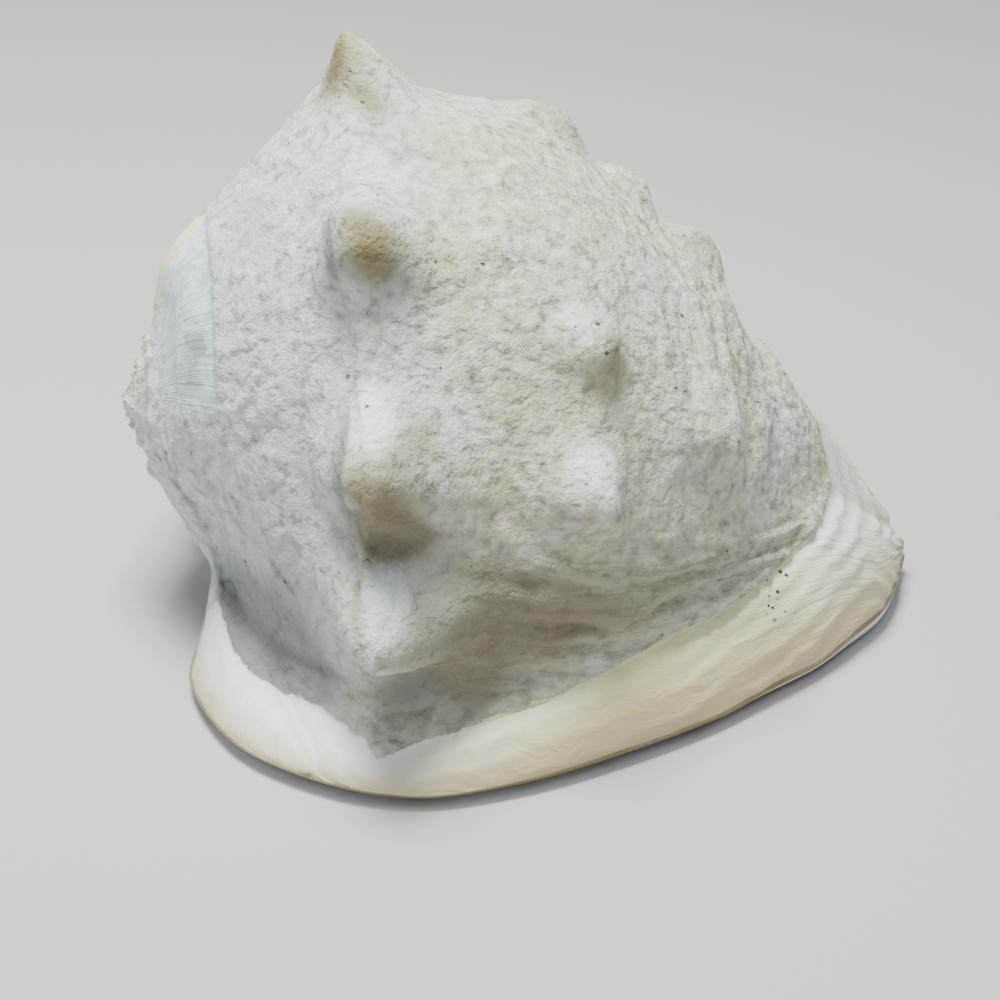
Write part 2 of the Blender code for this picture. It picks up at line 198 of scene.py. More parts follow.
def waist(x, angle):
    """How far the whorl draws in under the shoulder, next to the lip."""
    return WAIST_DEPTH * np.exp(-((x - WAIST_X) / WAIST_LENGTH)**2
                                - ((angle - WAIST_ANGLE) / WAIST_SPREAD)**2)


def back_radius(row, lip, shield, angle):
    """Radius of the whorl between the shield root and the lip root."""
    a_lip, r_lip = polar(lip, row[CENTRE_Z])
    a_shield, r_shield = polar(shield, row[CENTRE_Z])
    knots = (a_shield, 0.65 * a_shield, 0.22 * a_shield,
             0.22 * a_lip, 0.62 * a_lip, a_lip)
    radii = (r_shield, row[R_FAR], row[R_BACK],
             0.55 * row[R_BACK] + 0.45 * row[R_NEAR], row[R_NEAR], r_lip)
    return hermite(knots, radii, np.clip(angle, a_shield, a_lip))


def horn_height(x, angle, far_radius, body):
    """Height of the horns, and how far they lean along the shell."""
    keel = KEEL_HEIGHT * np.exp(-((x - KEEL_X) / KEEL_WIDTH)**2)
    together, squares, lean = (np.full_like(angle, 1e-6) for _ in range(3))
    for knob_x, degrees, height, reach_along, reach_up, reach_down, sharp in KNOBS:
        large = knob_x < 0
        side = STEEP_SIDE if (x < knob_x) == large else GENTLE_SIDE
        along = (x - knob_x) / (reach_along * side)
        across = (angle - math.radians(degrees)) * far_radius
        across = across / np.where(across < 0, reach_up, reach_down)
        raised = height * np.exp(-np.hypot(along, across)**sharp)
        together += raised
        squares += raised**2
        lean += raised * (HORN_LEAN if large else SMALL_LEAN)
    total = np.sqrt(squares)
    return (keel + total) * body, (HORN_LEAN * keel + total * lean / together) * body


def back_curve(row, body, count):
    """The outside of the whorl with its horns, from the shield to the lip."""
    lip = row[[ROOT_X, ROOT_Y, ROOT_Z]]
    shield = np.array([row[X], row[SHIELD_Y], row[SHIELD_Z]])
    a_lip = polar(lip, row[CENTRE_Z])[0] * body + LIP_SIDE * (1 - body)
    a_shield = polar(shield, row[CENTRE_Z])[0] * body + SHIELD_SIDE * (1 - body)
    angle = np.linspace(a_shield, a_lip, count + 1)
    radius = row[R_BACK] * (1 - body)
    if body > 0.02:
        radius = radius + body * back_radius(row, lip, shield, angle)
    raised, lean = horn_height(row[X], angle, row[R_FAR], body)
    points = around(row[X], row[CENTRE_Z], radius + raised - waist(row[X], angle), angle)
    points[:, 0] -= lean
    pull = smooth(math.radians(60), a_lip, angle) * body
    points[:, 0] += (lip[0] - row[X]) * pull
    return points


widest = max(STATIONS, key=lambda row: row[R_BACK])
print("widest loop at x", widest[X], "mm, with a radius of", widest[R_BACK], "mm at the back")

# %% [markdown]
# The lip is rolled outwards and the shield lies against the body on the other
# side, and the shell rests on both. Under them is the long mouth, and behind it
# the hollow where the animal lived. They are curves between the same few points
# of each station, so one closed loop can run over the outside, into the mouth
# and out again with no seam.

# %% Lip, foot and hollow
FOOT_INSET = 0.16            # share of the way from the rim to the mouth where the foot starts
FOOT_WIDTH = 0.30
LIP_EDGE_HEIGHT = 13.0       # mm, thickness of the lip where it meets the mouth
CAVITY_FAR_DEG = -150.0
FLOOR = 12.0                 # mm, least thickness under the hollow


def lip_flange(root, rim, count):
    """Upper face of a reflected rim: leaves the body level, turns down at the rim."""
    lift = np.array([0.0, 0.0, 1.0])
    out = root + (rim - root) * 0.30 + lift * 0.55 * abs(rim[1] - root[1])
    down = rim + lift * max(0.45 * (root[2] - rim[2]), 4.0)
    return bezier(root, out, down, rim, count)


def foot(rim, edge, count):
    """From the rim down to the flat foot at z = 0, then up to the mouth's edge."""
    end = FOOT_INSET + FOOT_WIDTH
    roll = np.linspace(0.0, FOOT_INSET, 4)
    share = np.concatenate([roll, np.linspace(end, 1.0, count - 3)])
    points = rim + (edge - rim) * share[:, None]
    points[:, 2] = edge[2] * smooth(end, 1.0, share)
    points[:4, 2] = rim[2] * (1 - np.sin(np.linspace(0.0, math.pi / 2, 4)))
    return points


def body_hollow(row, lip_edge, shield_edge, lip, shield, count):
    """Up inside the outer wall, round at the far end, and back along the core."""
    thick = min(LIP_EDGE_HEIGHT, 0.45 * row[CENTRE_Z])
    lip_top = lip_edge + np.array([0.0, -0.25 * thick, thick])
    fold_top = shield_edge + np.array([0.0, 0.1 * thick, 0.8 * thick])
    a_start, r_start = polar(lip_top, row[CENTRE_Z])
    a_end, r_end = polar(fold_top, row[CENTRE_Z])
    reach = a_start + (math.radians(CAVITY_FAR_DEG) - a_start) * row[HOLLOW]
    half = count // 2
    out_angle = np.linspace(a_start, reach, half)
    inner = back_radius(row, lip, shield, out_angle) - waist(row[X], out_angle) - row[WALL]
    down = np.maximum(-np.cos(np.minimum(out_angle, -math.pi / 2)), 0.05)
    inner = np.minimum(inner, (row[CENTRE_Z] - FLOOR) / down)
    inner = np.maximum(inner, row[CORE] + 3.0)
    leave = smooth(a_start, polar(lip, row[CENTRE_Z])[0] - 0.15, out_angle)
    outer = around(row[X], row[CENTRE_Z], r_start + (inner - r_start) * leave, out_angle)
    home_angle = np.linspace(reach, a_end, count - half - 1)
    arrive = smooth(a_end - 0.6, a_end, home_angle)
    core = around(row[X], row[CENTRE_Z], row[CORE] + (r_end - row[CORE]) * arrive,
                  home_angle)
    outer[:, 0] += (lip_edge[0] - row[X]) * (1 - leave)
    core[:, 0] += (shield_edge[0] - row[X]) * arrive
    deep = np.concatenate([[lip_edge], outer, core, [shield_edge]])
    flat = lip_edge + (shield_edge - lip_edge) * np.linspace(0, 1, count + 1)[:, None]
    weight = smooth(0.0, 0.25, row[HOLLOW])
    return flat + (deep - flat) * weight


print("wall of the body, mm:", min(row[WALL] for row in STATIONS), "to",
      max(row[WALL] for row in STATIONS))

# %% Teeth along the mouth
TOOTH_PITCH = 17.0           # mm, as all of these
TOOTH_HEIGHT = 3.0
TEETH_FROM_X = -48.0
TEETH_TO_X = 72.0
TEETH_FADE = 8.0
FOLD_PITCH = 10.0
FOLD_HEIGHT = 1.5
LIP_EDGE_Z = 5.0
SHIELD_EDGE_Z = 6.0


def mouth_edges(row):
    """Both sides of the long mouth: rounded teeth on the lip, finer folds opposite."""
    x = row[MOUTH_X]
    half = row[MOUTH_W] / 2
    toothed = span(TEETH_FROM_X - TEETH_FADE, TEETH_FROM_X + TEETH_FADE,
                   TEETH_TO_X - TEETH_FADE, TEETH_TO_X + TEETH_FADE, x)
    tooth = toothed * TOOTH_HEIGHT * (0.5 + 0.5 * math.cos(2 * math.pi * x / TOOTH_PITCH))
    fold = toothed * FOLD_HEIGHT * (0.5 + 0.5 * math.cos(2 * math.pi * x / FOLD_PITCH))
    lip_edge = np.array([x, row[MOUTH_Y] - half + tooth, LIP_EDGE_Z])
    shield_edge = np.array([x, row[MOUTH_Y] + half - fold, SHIELD_EDGE_Z])
    return lip_edge, shield_edge


print("teeth on the lip:", int(TEETH_TO_X // TOOTH_PITCH - TEETH_FROM_X // TOOTH_PITCH))

# %% One closed loop
COLS = {"shield_top": 16, "back": 196, "lip_top": 36, "lip_under": 15,
        "hollow": 34, "shield_under": 15}
SEGMENT = np.concatenate([np.full(n, i) for i, n in enumerate(COLS.values())])
# Degrees that each part takes up where the loops close into the round spire end.
ROUND_SPANS = ((-125, -115), None, (115, 130), (130, 165), (165, 200), (200, 235))


def shell_loop(row, body):
    """One closed loop of the loft, starting at the shield's rim."""
    back = back_curve(row, body, COLS["back"])
    lip_rim = row[[RIM_X, RIM_Y, RIM_Z]]
    shield_rim = row[[BRIM_X, BRIM_Y, BRIM_Z]]
    lip_edge, shield_edge = mouth_edges(row)
    parts = [
        lip_flange(back[0], shield_rim, COLS["shield_top"])[::-1], back,
        lip_flange(back[-1], lip_rim, COLS["lip_top"]),
        foot(lip_rim, lip_edge, COLS["lip_under"]),
        body_hollow(row, lip_edge, shield_edge, back[-1], back[0], COLS["hollow"]),
        foot(shield_rim, shield_edge, COLS["shield_under"])[::-1],
    ]
    rows = []
    for part, span in zip(parts, ROUND_SPANS):
        if span is not None:
            angle = np.radians(np.linspace(span[0], span[1], len(part)))
            ring = around(row[X], row[CENTRE_Z], row[R_BACK] - waist(row[X], angle), angle)
            part = ring * (1 - body) + part * body
        rows.append(part[:-1])
    return np.concatenate(rows)


print("points in a loop:", len(SEGMENT))

# %% [markdown]
# The spire is the shell of the animal's youth. Its whorls widen by the same
# share each turn, which is a spiral that a formula does well: where a point is
# between two sutures decides how far it stands out, and a cosine round the
# shoulder of the whorl gives the row of small nodules.

# %% The coiled spire
APEX_X = -112.0
AXIS_Z = 64.0
SUTURE_R = 24.0              # mm, radius of the last suture
WHORL_GROWTH = 1.6           # how much wider each turn is
SPIRE_NODULES = 13           # in one turn
SPIRE_RISE = 10.0            # mm, height of the spire
NODULE_HEIGHT = 2.2
SUTURE_DEPTH = 1.2


def spire_face(radius, angle):
    """X of the coiled spire: whorls step out at each suture, with nodules."""
    turn = math.log(WHORL_GROWTH)
    edge = SUTURE_R * np.exp(turn / (2 * math.pi) * (angle - LIP_SIDE))
    whorl = np.log(np.maximum(radius, 0.3) / edge) / turn
    part = whorl - np.floor(whorl)
    size = np.clip(radius / 20.0, 0.1, 1.0)
    shoulder = np.exp(-((part - 0.66) / 0.17)**2)
    knobs = (0.5 + 0.5 * np.cos(SPIRE_NODULES * angle))**1.5
    groove = np.exp(-(np.minimum(part, 1 - part) / 0.09)**2)
    relief = size * (shoulder + NODULE_HEIGHT * shoulder * knobs - SUTURE_DEPTH * groove)
    return APEX_X + SPIRE_RISE * (radius / 25.0)**1.15 - relief * (whorl < 0)


print("spire face, mm from the apex at the last suture:",
      round(float(spire_face(SUTURE_R, LIP_SIDE)) - APEX_X, 1))

# %% [markdown]
# The rows of points lie the same distance apart along the back, so that the
# faces come out about the same size and take the relief evenly. Near the spire
# each loop fades from the shape of the body into a plain round one.

# %% All loops, one for every row of points
DRAW_IN = 4.5                # mm, how far the spire end draws in just above the lip
DRAW_IN_Z = 24.0
DRAW_IN_SPREAD = 11.0
ROWS = 312


def stations_at(where):
    """Rows of the station table at places between the stations."""
    table = np.array(STATIONS, float)
    knots = np.arange(len(STATIONS))
    data = np.stack([hermite(knots, table[:, c], where) for c in range(table.shape[1])], axis=1)
    data[:, HOLLOW] = np.clip(data[:, HOLLOW], 0.0, 1.0)
    return data


def even_rows(count):
    """Places along the stations that lie the same distance apart on the back."""
    fine = np.linspace(0.35, len(STATIONS) - 1, 4000)
    data = stations_at(fine)
    crest = np.stack([data[:, X], data[:, CENTRE_Z] + data[:, R_BACK]], axis=1)
    length = np.concatenate([[0], np.cumsum(np.hypot(*np.diff(crest, axis=0).T))])
    return np.interp(np.linspace(0, length[-1], count), length, fine)


WHERE = even_rows(ROWS)
ROW_DATA = stations_at(WHERE)
BODY = smooth(1.9, 4.0, WHERE)
grid = np.stack([shell_loop(row, b) for row, b in zip(ROW_DATA, BODY)])
radius = np.hypot(grid[..., 1], grid[..., 2] - AXIS_Z)
angle = np.arctan2(-grid[..., 1], grid[..., 2] - AXIS_Z)
angle = np.where(angle < math.radians(-125), angle + 2 * math.pi, angle)
spire = (1 - smooth(1.9, 2.7, WHERE))[:, None]
grid[..., 0] = grid[..., 0] * (1 - spire) + spire_face(radius, angle) * spire
tuck = (DRAW_IN * smooth(-86.0, -92.0, grid[..., 0]) * smooth(-8.0, -24.0, grid[..., 1])
        * np.exp(-((grid[..., 2] - DRAW_IN_Z) / DRAW_IN_SPREAD)**2))
grid[..., 0] += tuck
print("grid of", grid.shape[0], "by", grid.shape[1], "points")

# %% [markdown]
# Where the body runs out into the lip the loops turn a sharp corner, and a
# real shell has a soft hollow there. Averaging each point with its neighbours
# eases it, only near that corner, so horns and teeth stay as they are.

# %% Ease the corner where the body runs out into the lip
FILLET_REACH = 13.0          # mm, how far the easing reaches from the corner
FILLET_PASSES = 90
JOIN_PASSES = 24             # where the spire end meets the body above the lip
SEAM_PASSES = 4              # round the edge of the spire


def eased(points, corner):
    """Smooths each loop along its own length, only near one column."""
    steps = np.linalg.norm(np.diff(points, axis=1, prepend=points[:, :1]), axis=-1)
    length = np.cumsum(steps, axis=1)
    near = np.exp(-((length - length[:, corner:corner + 1]) / FILLET_REACH)**4)[..., None]
    for _ in range(FILLET_PASSES):
        middle = (np.roll(points, 1, axis=1) + np.roll(points, -1, axis=1)) / 2
        points = points + (middle - points) * near * 0.5
    return points


lip_corner = COLS["shield_top"] + COLS["back"]
spire_loops = grid.copy()
grid = eased(grid, lip_corner)
on_body = smooth(0.25, 0.75, BODY)[:, None, None]
grid = spire_loops + (grid - spire_loops) * on_body


def blended(points, share, passes):
    """Smooths the grid both ways where share is above 0."""
    for _ in range(passes):
        rows_mean = points.copy()
        rows_mean[1:-1] = (points[:-2] + points[2:]) / 2
        loop_mean = (np.roll(points, 1, axis=1) + np.roll(points, -1, axis=1)) / 2
        points = points + ((rows_mean + loop_mean) / 2 - points) * share * 0.7
    return points


column = np.arange(grid.shape[1])
lip_side = span(lip_corner - 60, lip_corner - 20, lip_corner + 24, lip_corner + 36, column)
row_x = ROW_DATA[:, X]
join = span(-101, -97, -92, -87, row_x)
grid = blended(grid, (join[:, None] * lip_side[None, :])[..., None], JOIN_PASSES)
seam = span(-108, -106, -100, -98, row_x)
grid = blended(grid, (seam[:, None] + 0 * column[None, :])[..., None], SEAM_PASSES)
print("the easing moved points by up to",
      round(float(np.linalg.norm(grid - spire_loops, axis=-1).max()), 1), "mm")

# %% [markdown]
# On the real shell a chalky coat lies over the back like a sheet, and the lip
# is bare and smooth. Everything that follows growth needs to know where it is:
# how far from the edge of the coat, how far round the whorl, how near a horn.
# Those numbers are worked out once here, kept on the mesh as attributes, and
# read by both the relief and the materials, so colour and shape stay together.

# %% Where each point is on the shell
station = ROW_DATA[:, X][:, None] + 0 * grid[..., 0]
centre = ROW_DATA[:, CENTRE_Z][:, None]
turned = np.degrees(np.arctan2(-grid[..., 1], grid[..., 2] - centre))
reach = np.hypot(grid[..., 1], grid[..., 2] - centre)
OUTSIDE = ("shield_top", "back", "lip_top")
WHORL_END_X = -94.0          # mm; loops nearer the spire are outside all the way round
WHORL_END_Z = 12.0
part_name = np.array(list(COLS))[SEGMENT]
whorl_end = (station < WHORL_END_X) & (grid[..., 2] > WHORL_END_Z)
outside = np.isin(part_name, OUTSIDE)[None, :] | whorl_end
MM_PER_DEGREE = 1.5          # along the whorl, at its usual radius
print("points on the outside:", int(outside.sum()))

# %% [markdown]
# The coat ends along a line that wanders round the lip, the canal and the
# shield. A few points draw that line, and every point of the shell is given its
# distance from it in mm, above 0 on the coat. A distance can still be frayed,
# stepped or sharpened later on, which a mask of ones and zeros can't.

# %% Edge of the chalky coat
# x against y in mm, along the lip; only the part below the body's bulge counts.
COAT_LIP = ((-125, -24), (-96, -27), (-91, -33), (-88, -40), (-86, -50), (-85.5, -57), (-82, -66),
            (-78, -71), (-71, -77), (-64, -84), (-58, -92), (-54, -101), (-51, -107), (-46, -104),
            (-40, -102), (-34, -101), (-19, -98), (-2, -95), (9, -91), (21, -85), (40, -74),
            (53, -66), (60, -61), (74, -48), (81, -41), (87, -34), (92, -25), (125, -9))
BULGE_Z = 40.0
# degrees against x in mm, round the canal end.
COAT_CANAL = ((-180, 60), (-70, 70), (-20, 76), (5, 79), (14, 83), (20, 89), (35, 90),
              (52, 91), (70, 88), (80, 84), (90, 90), (110, 120), (180, 140))
COAT_SHIELD = -108.0         # degrees, along the shield
COAT_SPIRE_SLOPE = 0.88      # under the spire the edge slants down to the mouth


def between(places, at):
    """Straight lines through (place, value) pairs."""
    table = np.array(places, float)
    return np.interp(at, table[:, 0], table[:, 1])


steps = np.linalg.norm(np.diff(grid, axis=1, prepend=grid[:, :1]), axis=-1)
along_loop = np.cumsum(steps, axis=1)
beyond = (grid[..., 1] < between(COAT_LIP, grid[..., 0])) & (grid[..., 2] < BULGE_Z)
rim_column = np.flatnonzero(part_name == "lip_top")[-1]
under_column = np.flatnonzero(part_name == "shield_under")[0]
where_bare = []
for far, length, x in zip(beyond, along_loop, ROW_DATA[:, X]):
    column = rim_column if x > WHORL_END_X else under_column
    while x > WHORL_END_X and far[column]:
        column -= 1
    where_bare.append(length[column])
padded = np.pad(where_bare, 3, mode="edge")
where_bare = np.median(np.lib.stride_tricks.sliding_window_view(padded, 7), axis=1)
blur = np.hanning(7) / np.hanning(7).sum()
where_bare = np.convolve(np.pad(where_bare, 3, mode="edge"), blur, mode="valid")
to_lip = where_bare[:, None] - along_loop
to_canal = between(COAT_CANAL, turned) - grid[..., 0]
to_shield = (turned - COAT_SHIELD) * np.radians(1) * reach
above_slant = grid[..., 2] - WHORL_END_Z - COAT_SPIRE_SLOPE * np.clip(grid[..., 1], 0, None)
to_shield = np.where(whorl_end, np.maximum(to_shield, above_slant), to_shield)
coat_edge = np.minimum(np.minimum(to_lip, to_canal), to_shield)
coat_edge = np.where(outside, np.clip(coat_edge, -60, 60), -60.0)
coated = smooth(-0.8, 0.8, coat_edge)
print("coated share of the rows:", round(float(coated.mean()), 2))

# %% [markdown]
# Stains and wear lie where this one shell was rubbed or buried, so no rule gives
# them, and painted shade and painted highlights lie among them. Each is a soft patch,
# with a place, a reach each way and a strength. A painted image would do as well,
# but a patch can be read and moved, and the clouds in the material break up its edge.

# %% Stains, chalk, wear, painted shade and painted highlights on one specimen
# x, degrees, reach along in mm, reach around in mm, strength.
OCHRE = ((-49, -5, 6, 8, 1.2), (-44, 3, 6, 7, 0.8), (-44, 12, 7, 6, 0.25), (-48, 37.5, 8, 7, 1.1),
         (-47, 41, 6.5, 4, 0.5), (-51, 33, 5, 4.5, 0.5), (-39, 37, 5, 4, 0.35),
         (-47, 73.5, 9, 8, 0.62), (-38, 65, 6, 6, 0.6), (-42, 70, 9, 9, 0.4),
         (-44, 77, 8, 5, 0.65), (-53.5, 73, 4, 7, 0.45), (-37, 91, 6, 6, 0.5),
         (10, 48, 5, 7, 0.75), (6, -13, 7, 8, 0.55), (14, -8, 4, 9, 0.5), (50, -2, 7, 8, 0.6),
         (-76, 14, 6, 16, 0.35), (10, 56, 6, 8, 0.4), (-30, 10, 14, 20, 0.3), (70, 84, 5, 9, 0.5),
         (-47, -58, 9, 10, 0.8), (-47, -100, 9, 10, 0.6))
# Painted shade: grey-brown under the horns and low on the body, where the shell faces down, away from
# the light.
SHADE = ((-46, 80.5, 7.5, 5, 1.9), (-44, 77.5, 7, 5, 1.0), (-51, 80.5, 5, 5, 0.9),
         (-46, 84, 7, 4, 0.9), (-31, 103, 13, 8, 0.8), (-24, 108, 16, 9, 0.65),
         (-39, 81, 9, 4, 0.6), (-18, 95, 24, 13, 1.15), (14, 92, 30, 12, 0.6),
         (40, 82, 20, 14, 0.4), (-20, 86, 14, 5, 0.6))
# Painted cool shade: at the foot of the ramp, in the V above the lip, and in a thin strip beside a
# horn.
COOL_SHADE = ((-44, 108, 9, 8, 0.6), (-38, 107, 8, 9, 0.5), (-76, 122, 13, 12, 1.2),
        (-84, 131, 7, 10, 1.0), (-65, 114, 11, 11, 1.1), (-70, 100, 13, 14, 0.55),
        (-68, 119, 9, 9, 0.7), (-52.6, 91, 1.4, 7, 0.6))
# Partly real wear, where the tops of the horns are worn white, and partly painted highlight, on the
# face of a horn and low on the body near the lip.
BLEACH_AND_HIGHLIGHT = ((-50, 32.5, 5, 4, 0.5), (-51, 62, 5, 9, 1.1), (-48, 65, 6, 6, 0.7),
          (-45, 90, 5.5, 7, 1.5), (3, 67, 8, 8, 1.0), (6, 72, 6, 5, 0.5), (2, 44, 8, 7, 0.6),
          (50, 52, 7, 7, 0.7), (-44, 20, 10, 12, 0.6), (36, 40, 10, 14, 0.3),
          (14, 104, 17, 8, 0.5))
SMEAR = ((-93, 44, 4, 5, 1.0), (-95, 58, 4, 5, 0.9), (-96, 30, 3, 8, 0.2), (8, 74.5, 2.4, 2, 1.0),
         (9.5, 47, 3, 4, 0.7), (43.6, 60, 1.2, 1.6, 1.0), (50, 49, 1.1, 1.2, 0.9),
         (-40, 99.5, 7, 1.6, 0.9), (35, 30, 7, 12, 0.28), (44, 76, 6, 12, 0.22))
PITTED = ((14, 44, 8, 9, 1.0), (9, 48, 4, 5, 0.8), (30, 52, 5, 5, 0.7), (-47, -3, 8, 9, 0.7),
          (10, -14, 8, 9, 0.6), (-46, 40, 5, 6, 0.5), (48, 8, 9, 12, 0.6), (-84, 60, 8, 14, 0.5),
          (-72, 4, 9, 12, 0.5), (4, 66, 4, 5, 0.6))
HORN_EDGE_X = -56.0          # the ramp meets the steep side of the horns here
RUST = ((58, 98, 5, 6, 1.0), (60, 94, 5, 5, 0.5), (66, 110, 7, 4, 0.4), (46, 112, 6, 3, 0.3))


def patches(table):
    """Soft patches laid on the outside, strongest in their middles."""
    total = np.zeros_like(station)
    for x, degrees, along, around_mm, strength in table:
        total += strength * np.exp(-((station - x) / along)**2
                                   - ((turned - degrees) * np.radians(1) * reach / around_mm)**2)
    return np.where(outside, np.clip(total, 0, 1.2), 0.0)


print("patches:", sum(len(t) for t in (OCHRE, SHADE, COOL_SHADE, BLEACH_AND_HIGHLIGHT, SMEAR, PITTED, RUST)))

# %% [markdown]
# Some relief belongs to this one shell: the sheet of coat ends in a step, the
# ramp is drawn in beside the shoulder, an old lip stands as a ridge near the
# spire. These are placed one by one. The points move along their normals, which
# come from the neighbours in the grid.

# %% Relief placed by hand
COAT_STEP = 0.9              # mm, thickness of the chalky coat
RAMP_STEP = 1.6              # mm, drop from the ramp to the bare band by the spire
RAMP_EDGE_X = -87.0
RAMP_EDGE_WIDTH = 1.6
SHOULDER_SHELF = 2.0         # mm, how far the ramp sinks beside the shoulder
SHOULDER_X = -56.5
SHELF_FADE = 4.5             # mm, towards the spire
SHELF_WALL = 3.0             # mm, towards the horns
OLD_LIP_HEIGHT = 3.2         # mm, ridge left by an earlier lip
OLD_LIP_WIDTH = 4.2
OLD_LIP_DEG = -6.0
OLD_LIP_SLANT = 0.7          # degrees for each mm along the shell
FOLD_PATH = ((-86, 137), (-80, 131), (-74, 121), (-66, 114), (-57, 109))    # x, degrees
FOLD_DEPTH = 1.8
FOLD_WIDTH = 2.6


def outward(points):
    """Unit normals of the closed grid."""
    along = np.gradient(points, axis=0)
    around_loop = (np.roll(points, -1, axis=1) - np.roll(points, 1, axis=1)) / 2
    normal = np.cross(around_loop, along)
    return normal / np.maximum(np.linalg.norm(normal, axis=-1, keepdims=True), 1e-9)


on_ramp = span(-120, -60, 50, 108, turned)
relief = COAT_STEP * (coated - 1)
relief = relief - RAMP_STEP * on_ramp * smooth(
    RAMP_EDGE_X, RAMP_EDGE_X - RAMP_EDGE_WIDTH, grid[..., 0])
shelf = np.where(grid[..., 0] < SHOULDER_X,
                 np.exp(-((grid[..., 0] - SHOULDER_X) / SHELF_FADE)**2),
                 1 - smooth(SHOULDER_X, SHOULDER_X + SHELF_WALL, grid[..., 0]))
relief = relief - SHOULDER_SHELF * shelf * span(38, 52, 98, 106, turned)
old_lip = turned - OLD_LIP_DEG + OLD_LIP_SLANT * (station + 96)
old_lip = np.exp(-(old_lip * np.radians(1) * reach / OLD_LIP_WIDTH)**2)
relief = relief + (OLD_LIP_HEIGHT * old_lip
                   * smooth(-87, -89, station) * smooth(-106, -101, station))
fold_at = between(FOLD_PATH, grid[..., 0])
in_fold = span(-88, -84, -62, -55, grid[..., 0])
relief = relief - FOLD_DEPTH * in_fold * np.exp(
    -((turned - fold_at) * np.radians(1) * reach / FOLD_WIDTH)**2)
relief = relief * outside * smooth(1.0, 5.0, grid[..., 2])
grid = grid + outward(grid) * relief[..., None]
print("relief placed by hand, mm:", round(float(relief.min()), 1), "to",
      round(float(relief.max()), 1))

# %% [markdown]
# The points are in order already, so the faces follow from their row and column
# numbers. The last column joins the first and closes every loop, and one point
# at each end closes the skin. What the materials and the relief need to know is
# then kept on the mesh as named attributes.

# %% From grid to mesh
def shell_mesh(name, grid):
    """Closes the grid into one skin, with a point at the apex and a cap at the canal."""
    rows, cols = grid.shape[:2]
    apex = np.array([[APEX_X, 0.0, AXIS_Z]])
    canal = grid[-1].mean(axis=0)[None]
    points = np.concatenate([grid.reshape(-1, 3), apex, canal]) + ORIGIN_SHIFT
    i = np.arange(rows - 1)[:, None] * cols
    j = np.arange(cols)[None, :]
    k = (j + 1) % cols
    quads = np.stack([i + j, i + k, i + cols + k, i + cols + j], axis=-1).reshape(-1, 4)
    j = j.ravel()
    k = k.ravel()
    start = np.stack([np.full(cols, rows * cols), k, j], axis=1)
    last = (rows - 1) * cols
    end = np.stack([np.full(cols, rows * cols + 1), last + j, last + k], axis=1)
    mesh = bpy.data.meshes.new(name)
    mesh.from_pydata((points * MM).tolist(), [], quads.tolist() + start.tolist() + end.tolist())
    mesh.update()
    mesh.shade_smooth()
    return mesh


skin = shell_mesh("helmet_shell_skin", grid)
print("skin:", len(skin.vertices), "points,", len(skin.polygons), "faces")

# %% Attributes on the mesh
lip_share = np.zeros(len(SEGMENT))
lip_columns = np.flatnonzero(part_name == "lip_top")
lip_share[lip_columns] = (np.arange(len(lip_columns)) + 1) / len(lip_columns)
under = np.isin(part_name, ("lip_under", "shield_under"))
lip_share[under] = 1.0
under = under[None, :] & ~whorl_end
inside = (part_name == "hollow")[None, :] & ~whorl_end


def keep(name, values):
    """Stores one number for each point; the two end points take the nearest row's mean."""
    values = np.broadcast_to(values, station.shape)
    ends = [values[0].mean(), values[-1].mean()]
    attribute = skin.attributes.new(name, "FLOAT", "POINT")
    attribute.data.foreach_set("value", np.append(values.ravel(), ends).astype(np.float32))


keep("coat_edge", coat_edge)
keep("round_whorl", np.where(outside, turned * MM_PER_DEGREE, 0.0))
keep("from_rim", lip_share[None, :] * smooth(-96, -88, station))
keep("inside", inside.astype(float))
keep("under", under.astype(float))
for name, table in (("ochre", OCHRE), ("shade", SHADE), ("bleach", BLEACH_AND_HIGHLIGHT), ("smear", SMEAR),
                    ("rust", RUST), ("pitted", PITTED)):
    keep(name, patches(table))
# A thin strip of painted shade where the ramp meets the steep side of the horns.
to_horns = station - HORN_EDGE_X
along_horns = span(26, 31, 39, 45, turned) + span(58, 64, 80, 84, turned)
horn_foot_shade = span(-5.0, 0.0, 0.0, 0.8, to_horns) * along_horns * outside
keep("dusk", patches(COOL_SHADE) + horn_foot_shade)
keep("ramp", smooth(-50, -60, station))
keep("bare_band", span(-100, -60, 62, 76, turned)
     * smooth(RAMP_EDGE_X + 0.4, RAMP_EDGE_X - 1.2, grid[..., 0])
     * smooth(-103.0, -100.5, grid[..., 0]))
keep("old_lip", old_lip * smooth(-86, -88, station))
keep("creamy", smooth(-48, -14, station) * (1 - 0.55 * smooth(52, 84, station)))
keep("ridged", smooth(10, 60, grid[..., 0]) * outside)
keep("streaked", span(20, 34, 62, 72, station) * span(-10, 10, 58, 72, turned))
keep("folded", span(-38, -10, 70, 84, station) * smooth(72, 88, turned) * outside)
keep("free", outside * smooth(1.5, 6.0, grid[..., 2])
     * (0.25 + 0.75 * smooth(-104, -98, grid[..., 0])))
print("attributes:", ", ".join(a.name for a in skin.attributes if not a.name.startswith(".")))

# %% [markdown]
# Both the relief and the materials are node trees, and most of their nodes are
# plain sums. So what comes out of a node is called a flow here, and flows are
# added and multiplied with the usual signs, each of which puts down a Math node.

# %% Flows, and sums of them
class Flow:
    """What comes out of a node, so that a sum of nodes is written as a sum."""

    def __init__(self, bench, socket):
        self.bench = bench
        self.socket = socket


def arithmetic(what):
    """One sum, written with the flow on the left of its sign or on the right."""
    return (lambda flow, other: flow.bench.sum(what, flow, other),
            lambda flow, other: flow.bench.sum(what, other, flow))


